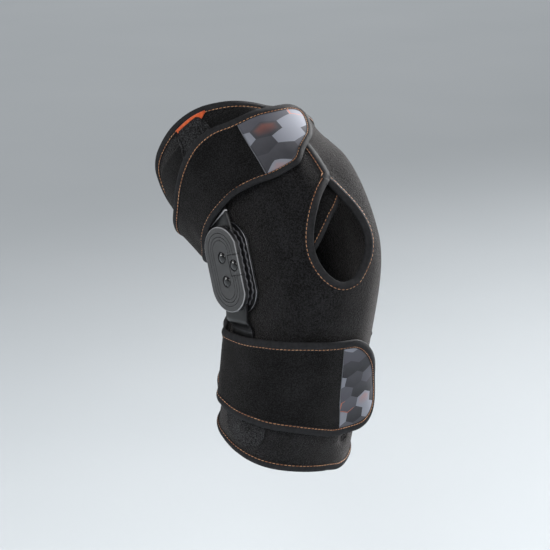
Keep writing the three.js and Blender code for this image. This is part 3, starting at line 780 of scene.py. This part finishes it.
def bind_edge(name, path, outer, inner, side, node, passes=4, mitre=(0, 0), wide=(TAPE_WIDE, TAPE_WIDE)):
    """folded tape over a cloth edge, sewn along its outer lip: its ribs and its pieces;
    wide is the outer lip's width on the path's first and last half"""
    ribs = edge_ribs(even_path(path, outer, passes), outer, side, mitre)
    widths = [lerp(*wide, ramp(i / len(ribs), 0.42, 0.58)) for i in range(len(ribs))]
    high = TAPE_GAP + TAPE_THICK + 0.4 * STITCH[2] - STITCH_SINK
    count = round((len(ribs) - 1) / STITCH_EVERY)
    sewn = [(ribs[i], widths[i]) for i in (round(n * (len(ribs) - 1) / count) for n in range(count + 1))]
    seam = [into_cloth(rib, width * (1 - STITCH_IN / TAPE_WIDE)) for rib, width in sewn]
    tape = fold_tape(f"{name}_tape", ribs, outer, inner, side, node, widths)
    stitches = sew(f"{name}_stitches", seam, lambda around, along: outer(around, along) + high)
    return ribs, [tape, stitches]


def under(face, thick):
    return lambda around, along: face(around, along) - thick


def level(out):
    return lambda around, along: out


# Sleeve

CALF_ROWS = 44
WINDOW_ROWS = 4
THIGH_ROWS = 18
WINDOW_STEPS = len(FRONT_EDGES) - 1
SLEEVE_COLUMNS = 150
SLEEVE_ROWS = CALF_ROWS + WINDOW_STEPS * WINDOW_ROWS + THIGH_ROWS
WINDOW_LOW = FRONT_EDGES[0]
WINDOW_TOP = FRONT_EDGES[-1]
# slope of the mitred tape at the outer flap's corner
CORNER_MITRE = 0.65
FLAP_TAPE = 7.4
PRESSED_LINE = {"deep": 1.9, "wide": 1.5}
BACK_FOLDS = {"deep": 1.8, "pitch": 21}
PUCKER = {"deep": 3, "around": -17, "along": -152.5}


def front_edge(step):
    return tuple(read(FRONT_EDGES, "step", column, step) for column in ("along", "outer", "inner"))


def sleeve_relief(around, along):
    """pressed line beside the flap, folds behind the knee and a pucker under the calf strap's tip"""
    line = lerp(37.5, 17, clamp((along + 10) / 55))
    pressed = math.exp(-((around - line) / PRESSED_LINE["wide"]) ** 2) * between(along, -18, 0, 60, 90)
    pressed *= PRESSED_LINE["deep"]
    folds = 0.5 + 0.5 * math.sin(2 * math.pi * (along + 0.05 * (around - 180)) / BACK_FOLDS["pitch"])
    behind = folds * between(around, 112, 150, 210, 248) * between(along, -48, -22, 26, 48)
    behind *= BACK_FOLDS["deep"]
    aside, above = from_front(around) - PUCKER["around"], along - PUCKER["along"]
    pucker = PUCKER["deep"] * math.exp(-(aside / 5) ** 2 - (above / 4) ** 2)
    return soft(around, along, 26, 0.45) - pressed - behind - pucker - 0.25


def sleeve_place(u, v):
    row = v * SLEEVE_ROWS
    step = clamp((row - CALF_ROWS) / WINDOW_ROWS, 0, WINDOW_STEPS)
    along, outer, inner = front_edge(step)
    around = lerp(outer, inner + 360, u)
    if row < CALF_ROWS:
        along = lerp(rim(BOTTOM_RIM, around), WINDOW_LOW["along"], row / CALF_ROWS)
    past = row - CALF_ROWS - WINDOW_STEPS * WINDOW_ROWS
    if past > 0:
        along = lerp(WINDOW_TOP["along"], rim(TOP_RIM, around), past / THIGH_ROWS)
    from_edge = min(u, 1 - u) * 360
    settled = ramp(from_edge, 3, 14) if row > CALF_ROWS else 1
    return leg_point(around, along, flap_lift(around, along) + settled * sleeve_relief(around, along))


def window_face(around, along):
    """the outer face along the window's edge: raised on the outer flap, not on the inner one"""
    on_outer = around > -0.8 and along < 31
    return flap_lift(around, along) if on_outer else 0.0


def make_sleeve():
    bm = lay(SLEEVE_COLUMNS, SLEEVE_ROWS, sleeve_place)
    bmesh.ops.remove_doubles(bm, verts=bm.verts, dist=0.01 * MM)
    cloth = piece("sleeve_cloth", bm, "velour", SLEEVE_VELOUR)
    thicken(cloth, SLEEVE_THICK)
    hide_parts("sleeve")

    start, stop = WINDOW_TOP["outer"], WINDOW_TOP["inner"] + 360
    turns = [lerp(start, stop, i / 200) for i in range(201)]
    top = [(around, rim(TOP_RIM, around)) for around in turns]
    seam = WINDOW_LOW["outer"] + 180
    bottom = [(seam + 360 * i / 200, rim(BOTTOM_RIM, seam + 360 * i / 200)) for i in range(201)]
    below_rim = TAPE_WIDE - 1
    corner = 6 * FLAP_CORNER
    edges = [front_edge(i / 6) for i in range(6 * WINDOW_STEPS + 1)]
    outer_side = [(outer, along) for along, outer, inner in edges]
    inner_side = [(inner, along) for along, outer, inner in edges]
    flap = [(start, rim(TOP_RIM, start) - below_rim), *reversed(outer_side[corner - 3:])]
    window = [*reversed(outer_side[:corner + 1]), *inner_side]
    window.append((stop - 360, rim(TOP_RIM, stop) - below_rim))

    trim = []
    for name, path, face, side, node, passes, mitre, wide in (
        ("sleeve_top", top, flap_lift, -1, "sleeve_top_binding", 4, (0, 0), TAPE_WIDE),
        ("sleeve_bottom", bottom, level(0), 1, "sleeve_bottom_binding", 4, (0, 0), TAPE_WIDE),
        ("outer_flap", flap, flap_lift, 1, "opening_binding", 2, (0, CORNER_MITRE), FLAP_TAPE),
        ("window", window, window_face, 1, "opening_binding", 12, (CORNER_MITRE, 0), TAPE_WIDE),
    ):
        inner = under(face, SLEEVE_THICK)
        trim += bind_edge(name, path, face, inner, side, node, passes, mitre, (wide, wide))[1]
    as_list(trim)


# Tongue behind the window's top corner, and the thin layer on the thigh

def tongue_low(around):
    return 16 - 0.56 * around


def make_tongue():
    def place(u, v):
        around = lerp(TONGUE["from"], TONGUE["to"], u)
        along = lerp(tongue_low(around), TONGUE["top"], v)
        return leg_point(around, along, TONGUE["out"])

    cloth = piece("tongue_cloth", lay(30, 20, place), "velour", STRAP_VELOUR)
    thicken(cloth, TONGUE["thick"])
    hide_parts("tongue")
    turns = [lerp(TONGUE["from"], TONGUE["to"], i / 30) for i in range(31)]
    path = [(around, tongue_low(around)) for around in turns]
    face = level(TONGUE["out"])
    wide = (TONGUE["tape"], TONGUE["tape"])
    _, trim = bind_edge("tongue", path, face, under(face, TONGUE["thick"]), 1, "tongue_binding", wide=wide)
    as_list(trim)


def make_thigh_panel():
    def place(u, v):
        around = lerp(PANEL["from"], PANEL["to"], u)
        low = read(THIGH_PANEL, "around", "low", around)
        high = read(THIGH_PANEL, "around", "high", around)
        along = lerp(low, high, v)
        return leg_point(around, along, PANEL["out"] + flap_lift(around, along))

    cloth = piece("thigh_panel_cloth", lay(120, 24, place), "velour", STRAP_VELOUR)
    thicken(cloth, PANEL["thick"])
    round_edges(cloth, 0.4)
    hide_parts("thigh_panel")


# Straps

TIP_BLUNT = 0.25
TIP_TURN = 38
TIP_SHARE = 0.27
STRAP_COLUMNS = 150
STRAP_ROWS = 22
PRINT_IN = 3.4
PRINT_GAP = 0.06
PRINT_THICK = 0.22
PRINT_COLUMNS = 48
PRINT_ROWS = 40
WELT_WIDE = 0.5
ROOT_SEAMS = (2.5, 6)


def thigh_stand(around, along):
    """how far the thigh strap's inner face stands off the sleeve"""
    over_arms = 4.2 * between(around, 34, 50, 126, 160) + 4.2 * between(around, 242, 260, 284, 297)
    over_bends = 2.2 * between(around, 54, 66, 98, 112) + 3 * between(around, 246, 260, 284, 297)
    return (3.9 + flap_lift(around, along) + over_arms + over_bends * ramp(along, 66, 46)
            - 2.2 * ramp(around, 2, -14))


def calf_stand(around, along):
    over_arms = 4.8 * between(around, 30, 66, 100, 118) + 4.8 * between(around, 232, 252, 284, 297)
    lifted_end = (4 + 6 * ramp(along, -90, -145)) * ramp(around, -6, -47)
    return 2.1 + over_arms + lifted_end


def round_end(share, square):
    left = clamp(1 - share)
    return (1 - left ** square) ** (1 / square)


def strap_span(strap, around):
    """low and high edge at an angle"""
    tip = strap["tip"]
    past = around - tip["around"]
    high = read(strap["edges"], "around", "high", around)
    low = read(strap["edges"], "around", "low", around)
    low_end = round_end(past / tip["low"], tip["low_square"])
    high_end = round_end(past / tip["high"], tip["high_square"])
    return lerp(tip["along"], low, low_end), lerp(tip["along"], high, high_end)


def strap_around(strap, u):
    start = strap["tip"]["around"] + TIP_BLUNT
    if u < TIP_SHARE:
        return start + TIP_TURN * (u / TIP_SHARE) ** 1.6
    return lerp(start + TIP_TURN, strap["root"], (u - TIP_SHARE) / (1 - TIP_SHARE))


def make_strap(name, strap, stand):
    def outer(around, along):
        return stand(around, along) + STRAP_THICK

    def place(u, v):
        around = strap_around(strap, u)
        along = lerp(*strap_span(strap, around), v)
        middle = between(v, 0, 0.25, 0.75, 1)
        return leg_point(around, along, outer(around, along) + middle * soft(around, along, 30, 0.5))

    cloth = piece(f"{name}_cloth", lay(STRAP_COLUMNS, STRAP_ROWS, place), "velour", STRAP_VELOUR)
    thicken(cloth, STRAP_CLOTH)
    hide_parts(name)
    turns = [strap_around(strap, i / 240) for i in range(241)]
    high = [(around, strap_span(strap, around)[1]) for around in reversed(turns)]
    low = [(around, strap_span(strap, around)[0]) for around in turns]
    inner = under(outer, STRAP_CLOTH)
    ribs, trim = bind_edge(name, high + low, outer, inner, 1, f"{name}_binding", 12, wide=strap["tape"])
    trim += make_print(name, strap, outer, ribs)
    for row, from_root in enumerate(ROOT_SEAMS):
        around = strap["root"] - from_root
        span = strap_span(strap, around)
        count = round((span[1] - span[0]) / (TAPE_PITCH * STITCH_EVERY))
        seam = [(around, lerp(*span, i / count)) for i in range(2, count - 1)]
        trim.append(sew(f"{name}_root_stitches_{row}", seam, lambda *spot: outer(*spot) + 0.1))
    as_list(trim)


def part_way(places, share):
    at = share * (len(places) - 1)
    i = min(int(at), len(places) - 2)
    return tuple(lerp(a, b, at - i) for a, b in zip(places[i], places[i + 1]))


def make_print(name, strap, outer, ribs):
    """printed film at the strap's tip, under the tape's lip, and the welt along its slanted end"""
    (low_along, low_around), (high_along, high_around) = strap["print"]["low"], strap["print"]["high"]

    def before_line(place):
        around, along = place
        return around < lerp(low_around, high_around, (along - low_along) / (high_along - low_along))

    tip = min(range(len(ribs)), key=lambda i: ribs[i][0])
    inset = [into_cloth(rib, PRINT_IN) for rib in ribs]
    low_side = [place for place in inset[tip:] if before_line(place)]
    high_side = [place for place in inset[tip::-1] if before_line(place)]
    radius = leg_point(low_around, low_along, 0).xy.length / MM

    def on_leg(u, v):
        return tuple(lerp(a, b, v) for a, b in zip(part_way(low_side, u), part_way(high_side, u)))

    def place(u, v):
        spot = on_leg(u, v)
        return leg_point(*spot, outer(*spot) + PRINT_GAP + PRINT_THICK)

    def weave(u, v):
        around, along = on_leg(u, v)
        return math.radians(around) * radius, along

    film = piece(f"{name}_print", lay(PRINT_COLUMNS, PRINT_ROWS, place, weave), "print", PRINT)
    thicken(film, PRINT_THICK)
    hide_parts(f"{name}_patch")

    def welt_place(u, v):
        around, along = on_leg(1, u)
        around += math.degrees((v - 0.5) * WELT_WIDE / radius)
        return leg_point(around, along, outer(around, along) + PRINT_THICK + 0.3 * math.sin(math.pi * v))

    welt = piece(f"{name}_print_welt", lay(PRINT_ROWS, 6, welt_place, flip=False), "print", WELT)
    return [film, welt]


# Tabs and pull of the arms' pockets

def make_tab(name, tab):
    def place(u, v):
        plain = lerp(tab["from"], tab["to"], u)
        near = min(plain - tab["from"], tab["to"] - plain) / tab["round"]
        corner = (1 - round_end(near, 2)) * 0.4 * (tab["end"] - tab["low"])
        around = plain - tab["slant"] * u * v
        along = lerp(tab["low"], tab["end"] - corner, v)
        return leg_point(around, along, tab["out"] + soft(around, along, 14, 0.4))

    bm = lay(60, 40, place, flip=tab["end"] > tab["low"])
    cloth = piece(f"{name}_cloth", bm, "velour", TAB_VELOUR)
    thicken(cloth, tab["thick"])
    round_edges(cloth, 0.5, 3)
    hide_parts(name)


def make_pull():
    def place(u, v):
        around = lerp(PULL["from"], PULL["to"], u)
        high = rim(TOP_RIM, around) - TAPE_WIDE + 0.9 - 0.8 * ramp(u, 0.3, 1)
        along = lerp(PULL["low"] + 3 * ramp(u, 0.24, 0) + 3.5 * ramp(u, 0.7, 1), high, v)
        return leg_point(around, along, PULL["out"] + 0.9 * between(v, 0.3, 0.8, 0.9, 1.1))

    def weave(u, v):
        return PULL["long"] * u, PULL["wide"] * v

    web = piece("upper_pull_webbing", lay(60, 12, place, weave), "bright", WEBBING)
    thicken(web, PULL["thick"])
    round_edges(web, 0.3)
    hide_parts("upper_pull")


# Hinges

LEAN = math.radians(HINGE_LEAN)
ON_HINGE = Matrix((
    (0, 0, -1, 0),
    (-math.cos(LEAN), math.sin(LEAN), 0, HINGE_Y),
    (math.sin(LEAN), math.cos(LEAN), 0, HINGE_Z),
    (0, 0, 0, 1),
))
SIDES = {"lateral": Matrix.Diagonal((MM, MM, MM, 1)), "medial": Matrix.Diagonal((-MM, MM, MM, 1))}
ROUND_STEPS = 144


def hinge_piece(side, name, bm, slot, *finishes, place=ON_HINGE):
    bmesh.ops.transform(bm, matrix=SIDES[side] @ place, verts=bm.verts)
    if side == "medial":
        bmesh.ops.reverse_faces(bm, faces=bm.faces)
    made = piece(f"{side}_{name}_finished", bm, slot, *finishes)
    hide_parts(f"{side}_{name}")
    return made


def shade_by_angle(made, degrees=35):
    made.data.set_sharp_from_angle(angle=math.radians(degrees))


def long_round(bm, straight, radius, x, z):
    """a face with round ends and straight sides"""
    half_step = Matrix.Rotation(math.pi / ROUND_STEPS, 4, "Z")
    spot = Matrix.Translation((x, 0, z)) @ half_step
    bmesh.ops.create_circle(bm, cap_ends=True, segments=ROUND_STEPS, radius=radius, matrix=spot)
    for vert in bm.verts:
        vert.co.y += math.copysign(straight, vert.co.y)
    return bm.faces[:][0]


def racetrack(bm, size, z):
    """a face with round ends and back and a flat front"""
    long_round(bm, size["straight"], size["radius"], 0, z)
    geometry = bm.verts[:] + bm.edges[:] + bm.faces[:]
    ahead = {"plane_co": (size["front"], 0, z), "plane_no": (1, 0, 0)}
    bmesh.ops.bisect_plane(bm, geom=geometry, clear_outer=True, **ahead)
    return bm.faces[:][0]


def raise_face(bm, face, high):
    """extrudes a face upwards into a slab, and gives the slab's top"""
    made = bmesh.ops.extrude_face_region(bm, geom=[face], use_keep_orig=True)
    top = next(part for part in made["geom"] if isinstance(part, bmesh.types.BMFace))
    bmesh.ops.translate(bm, vec=(0, 0, high), verts=top.verts)
    bmesh.ops.recalc_face_normals(bm, faces=bm.faces)
    return top


def step_in(bm, face, wide, up=0.0):
    """insets a face and moves its middle up"""
    bmesh.ops.inset_region(bm, faces=[face], thickness=wide, use_even_offset=True, use_boundary=True)
    bmesh.ops.translate(bm, vec=(0, 0, up), verts=face.verts)


RIM_ROUND = 0.75
RIM_STEPS = 5
RINGS = (5.2, 8.4, 11.2)
GROOVE_WIDE = 0.45
GROOVE_DEEP = 0.5
WELL_WIDE = 5.1
WELL_DEEP = 1.1
WELL_SLOPE = 0.3
NOTCH_CLEAR = 0.5
NOTCH_REACH = 30
INSERT_EDGE = 0.2
HAIR = 0.01


def carve(bm, cutters):
    """the mesh less the cutters, which are used up"""
    blank = add_object("blank", bm)
    for tool in cutters:
        cut = blank.modifiers.new("cut", "BOOLEAN")
        cut.object = tool
        cut.operation = "DIFFERENCE"
        cut.solver = "EXACT"
    graph = bpy.context.evaluated_depsgraph_get()
    carved = bpy.data.meshes.new_from_object(blank.evaluated_get(graph))
    left = bmesh.new()
    left.from_mesh(carved)
    for spare in [blank, *cutters]:
        bpy.data.objects.remove(spare)
    return left


def notch():
    """room for the insert in the cover's front"""
    low, thick = LAYERS["cover"]
    back = INSERT["back"] - NOTCH_CLEAR
    high = INSERT["high"] - INSERT["low"] + 2 * NOTCH_CLEAR
    middle = (back + NOTCH_REACH / 2, (INSERT["high"] + INSERT["low"]) / 2, low + thick / 2)
    size = Matrix.Diagonal((NOTCH_REACH, high, NOTCH_REACH, 1))
    bm = bmesh.new()
    bmesh.ops.create_cube(bm, size=1, matrix=Matrix.Translation(middle) @ size)
    return add_object("cutter", bm)


def well(x, y):
    """round sunk seat of a rivet's head, with a sloped wall"""
    bm = bmesh.new()
    spot = Matrix.Translation((x, y, sum(LAYERS["cover"])))
    bmesh.ops.create_cone(bm, cap_ends=True, segments=64, radius1=WELL_WIDE - WELL_SLOPE,
                          radius2=WELL_WIDE + WELL_SLOPE, depth=2 * WELL_DEEP, matrix=spot)
    return add_object("cutter", bm)


def ring(inset):
    """a groove with a sharp bottom that follows the cover's outline"""
    bm = bmesh.new()
    radius = (COVER["radius"] + COVER["front"]) / 2 - inset
    shift = (COVER["front"] - COVER["radius"]) / 2
    over = sum(LAYERS["cover"]) + GROOVE_DEEP
    face = long_round(bm, COVER["straight"] - shift, radius + GROOVE_WIDE, shift, over)
    step_in(bm, face, GROOVE_WIDE, -2 * GROOVE_DEEP)
    step_in(bm, face, GROOVE_WIDE, 2 * GROOVE_DEEP)
    bm.faces.remove(face)
    bmesh.ops.bridge_loops(bm, edges=[edge for edge in bm.edges if edge.is_boundary])
    bmesh.ops.recalc_face_normals(bm, faces=bm.faces)
    return add_object("cutter", bm)


def finish_faces(bm, rivets):
    """the rim's rounding is finish 1, a painted highlight; the side walls, the grooves and the rivets'
    wells are finish 2, painted shade
    """
    top = sum(LAYERS["cover"])
    for face in bm.faces:
        spot = face.calc_center_median()
        beyond = max(abs(spot.y) - COVER["straight"], 0)
        inside = min(COVER["radius"] - math.hypot(spot.x, beyond), COVER["front"] - spot.x)
        seated = any(math.hypot(spot.x - x, spot.y - y) < WELL_WIDE + 0.4 for x, y in rivets)
        if seated and spot.z < top - HAIR or spot.z < top - RIM_ROUND:
            face.material_index = 2
        elif spot.z < top - HAIR:
            face.material_index = 1 if inside < RIM_ROUND else 2


def make_cover(side):
    low, thick = LAYERS["cover"]
    bm = bmesh.new()
    top = raise_face(bm, racetrack(bm, COVER, low), thick - RIM_ROUND)
    turns = [math.radians(90 * i / RIM_STEPS) for i in range(RIM_STEPS + 1)]
    for a, b in zip(turns, turns[1:]):
        step_in(bm, top, RIM_ROUND * (math.cos(a) - math.cos(b)), RIM_ROUND * (math.sin(b) - math.sin(a)))
    cutters = [ring(inset) for inset in RINGS]
    pivots = [(0, PIVOT_HALF), (0, -PIVOT_HALF)]
    cutters += [well(*pivot) for pivot in pivots]
    bm = carve(bm, [*cutters, notch()])
    finish_faces(bm, pivots)
    shade_by_angle(hinge_piece(side, "hinge_cover", bm, "plastic", COVER_PLASTIC, COVER_RIM_HIGHLIGHT, COVER_SIDE_SHADE))


def make_insert(side):
    low, thick = LAYERS["cover"]
    bm = bmesh.new()
    size = (COVER["front"] - INSERT["back"], INSERT["high"] - INSERT["low"], thick)
    middle = ((COVER["front"] + INSERT["back"]) / 2, (INSERT["high"] + INSERT["low"]) / 2, low + thick / 2)
    bmesh.ops.create_cube(bm, size=1, matrix=Matrix.Translation(middle) @ Matrix.Diagonal((*size, 1)))

    def front(edge):
        return all(vert.co.x > COVER["front"] - HAIR for vert in edge.verts)

    upper = [edge for edge in bm.edges if all(vert.co.z > low + thick / 2 for vert in edge.verts)]
    rim_edges = [edge for edge in upper if front(edge)]
    seam_edges = [edge for edge in upper if not front(edge)]
    for edges, wide in ((rim_edges, RIM_ROUND), (seam_edges, INSERT_EDGE)):
        kept = [edge for edge in edges if edge.is_valid]
        bmesh.ops.bevel(bm, geom=kept, offset=wide, segments=RIM_STEPS, profile=0.5, affect="EDGES",
                        material=-1)
    bm = carve(bm, [well(*STOP_RIVET)])
    finish_faces(bm, [STOP_RIVET])
    shade_by_angle(hinge_piece(side, "hinge_insert", bm, "plastic", COVER_PLASTIC, COVER_RIM_HIGHLIGHT, COVER_SIDE_SHADE))


SCALLOPS = 29
SCALLOP_DEEP = 1.1
SCALLOP_CUTS = 60
# the core's straight sides are longer than this, and its other edges shorter
LONG_EDGE = 10


def into_core(spot):
    """the way inwards from a point of the core's outline"""
    if spot.x > CORE["front"] - HAIR:
        return Vector((-1, 0, 0))
    middle = Vector((0, clamp(spot.y, -CORE["straight"], CORE["straight"]), spot.z))
    return (middle - spot).normalized()


def make_core(side, layer, phase):
    low, thick = LAYERS[layer]
    bm = bmesh.new()
    racetrack(bm, CORE, low)
    long = [edge for edge in bm.edges if edge.calc_length() > LONG_EDGE]
    bmesh.ops.subdivide_edges(bm, edges=long, cuts=SCALLOP_CUTS)
    face = bmesh.ops.dissolve_faces(bm, faces=bm.faces[:])["region"][0]
    length = sum(edge.calc_length() for edge in face.edges)
    run = 0.0
    moves = []
    for loop in face.loops:
        wave = 0.5 + 0.5 * math.cos(2 * math.pi * SCALLOPS * run / length + phase)
        moves.append((loop.vert, into_core(loop.vert.co) * SCALLOP_DEEP * wave))
        run += loop.edge.calc_length()
    for vert, move in moves:
        vert.co += move
    raise_face(bm, face, thick)
    # the scalloped walls get the painted highlight, the flat faces the painted shade
    for face in bm.faces:
        heights = [vert.co.z for vert in face.verts]
        face.material_index = max(heights) - min(heights) > thick / 2
    made = hinge_piece(side, f"hinge_{layer}", bm, "plastic", COVER_SIDE_SHADE, CORE_WALL_HIGHLIGHT)
    shade_by_angle(made)
    round_edges(made, 0.2)


def make_plate(side):
    low, thick = LAYERS["plate"]
    bm = bmesh.new()
    raise_face(bm, racetrack(bm, PLATE, low), thick)
    made = hinge_piece(side, "hinge_plate", bm, "coated", COATED, BARE_EDGE_HIGHLIGHT)
    shade_by_angle(made)
    # the rounded edges take the rubbed finish with its painted highlight
    round_edges(made, 0.4, 2, 1)


def make_rivet(side, name, x, y, reach):
    """a dome spun round its axis on a short shank"""
    face = sum(LAYERS["cover"])
    bm = bmesh.new()
    head, dome, shank = RIVET["head"], RIVET["dome"], RIVET["shank"]
    base = RIVET["seat"] - WELL_DEEP
    brim = base + RIVET["brim"]
    profile = [(0, -reach), (shank, -reach), (shank, base), (head, base), (head, brim)]
    for i in range(1, 13):
        turn = math.radians(90 * i / 12)
        profile.append((head * math.cos(turn), brim + dome * math.sin(turn)))
    verts = [bm.verts.new((x + out, y, face + up)) for out, up in profile]
    edges = [bm.edges.new(pair) for pair in zip(verts, verts[1:])]
    bmesh.ops.spin(bm, geom=verts + edges, cent=(x, y, face), axis=(0, 0, 1), angle=2 * math.pi,
                   steps=40, use_merge=True)
    bmesh.ops.remove_doubles(bm, verts=bm.verts, dist=0.002)
    bmesh.ops.recalc_face_normals(bm, faces=bm.faces)
    shade_by_angle(hinge_piece(side, name, bm, "gloss", RIVET_GLOSS), 50)


ARM_STEPS = 70
ARM_ROWS = 4


def make_arm(side, name, bar):
    line = bar["line"]
    last = len(line) - 1
    low, thick = LAYERS["arm"]

    def at(column, t):
        return read(line, "step", column, clamp(t, 0, last))

    def place(u, v):
        t = last * u
        after, before = t + 0.05, t - 0.05
        run = Vector((at("y", after) - at("y", before), at("z", after) - at("z", before))).normalized()
        end = min(u, 1 - u) / 0.06
        half = at("half", t) * math.sqrt(clamp(1 - (1 - clamp(end)) ** 2, 0.12))
        aside = (2 * v - 1) * half
        past = -0.7 * PIVOT_HALF * clamp(1 - u / 0.06)
        past -= bar["skew"] * aside * between(t, 1, 1.9, 2.1, 3)
        y = at("y", t) + past * run.x + aside * run.y
        z = at("z", t) + past * run.y - aside * run.x
        laid = clamp(at("laid", t))
        on_leg = leg_side(y, z) + bar["off"] if laid > 0 else 0
        return Vector((-lerp(low, on_leg, laid), y, z))

    bm = lay(ARM_STEPS, ARM_ROWS, place, flip=False)
    flat = bm.loops.layers.uv["weave"]
    # the faces on the bend's line take the painted crease highlight
    for face in bm.faces:
        u = sum(loop[flat].uv.x for loop in face.loops) / len(face.loops)
        face.material_index = abs(last * u - bar["crease"]) < 0.5 * last / ARM_STEPS
    bmesh.ops.recalc_face_normals(bm, faces=bm.faces)
    if sum(face.normal.x for face in bm.faces) > 0:
        bmesh.ops.reverse_faces(bm, faces=bm.faces)
    finishes = (COATED, CREASE_HIGHLIGHTS[name], WORN_EDGE_HIGHLIGHT)
    made = hinge_piece(side, name, bm, "coated", *finishes, place=Matrix.Identity(4))
    thicken(made, thick, 1.0)
    # the rounded edges take the worn finish with its painted highlight
    round_edges(made, 0.25, 2, 2)


def make_hinge(side):
    face = sum(LAYERS["cover"])
    make_cover(side)
    make_insert(side)
    make_core(side, "core_outer", 0)
    make_core(side, "core_inner", math.pi)
    make_plate(side)
    make_arm(side, "upper_arm", UPPER_ARM)
    make_arm(side, "lower_arm", LOWER_ARM)
    make_rivet(side, "rivet_upper", 0, PIVOT_HALF, face - LAYERS["plate"][0])
    make_rivet(side, "rivet_lower", 0, -PIVOT_HALF, face - LAYERS["plate"][0])
    make_rivet(side, "rivet_stop", *STOP_RIVET, face - LAYERS["core_inner"][0])


# Floor and light

FLOOR_LOW = 0.47
FLOOR_WIDE = 16


def make_floor():
    bm = bmesh.new()
    bmesh.ops.create_grid(bm, x_segments=4, y_segments=4, size=FLOOR_WIDE / 2)
    bmesh.ops.translate(bm, vec=(0, 0, -FLOOR_LOW), verts=bm.verts)
    floor = add_object("floor", bm)
    pale = Finish("pale_floor", Roughness=0.8)
    cloud = pale.grain(2, 2)
    pale.set("Base Color", pale.blend(cloud, paint("b4babe"), paint("bcc1c5")))
    floor.data.materials.append(pale.material)


LIGHTS = {
    # place, size, watts, spread
    "left_softbox": ((-2.9, -2.2, 2.7), 1.6, 60, 180),
    "right_softbox": ((1.4, -3.4, 2.2), 1.6, 30, 180),
    "camera_softbox": ((-3.1, -3.2, 1.0), 0.6, 14, 180),
    "hinge_strip": ((-2.0, 2.4, 0.1), 0.5, 9, 180),
    "right_edge": ((3.6, 0.3, 1.3), 1.8, 36, 40),
    "back_fill": ((-1.4, 3.6, 1.8), 2.5, 22, 180),
    "far_wash": ((4.4, 5.0, 4.5), 4.0, 170, 180),
}


def set_lights():
    for name, (place, size, watts, spread) in LIGHTS.items():
        data = bpy.data.lights.new(name, "AREA")
        data.size = size
        data.energy = watts
        data.spread = math.radians(spread)
        lamp = bpy.data.objects.new(name, data)
        lamp.location = place
        lamp.rotation_euler = (-Vector(place)).to_track_quat("-Z", "Y").to_euler()
        bpy.context.scene.collection.objects.link(lamp)
    world = bpy.data.worlds.new("studio")
    world.use_nodes = True
    sky = world.node_tree.nodes["Background"]
    sky.inputs["Color"].default_value = paint("e8ebee")
    sky.inputs["Strength"].default_value = 0.3
    bpy.context.scene.world = world
    bpy.context.scene.view_settings.view_transform = "Standard"


set_camera()
for hinge_side in SIDES:
    make_hinge(hinge_side)
make_sleeve()
make_tongue()
make_thigh_panel()
make_strap("thigh_strap", THIGH_STRAP, thigh_stand)
make_strap("calf_strap", CALF_STRAP, calf_stand)
make_tab("upper_pocket_tab", UPPER_TAB)
make_tab("lower_pocket_tab", LOWER_TAB)
make_pull()
make_floor()
set_lights()
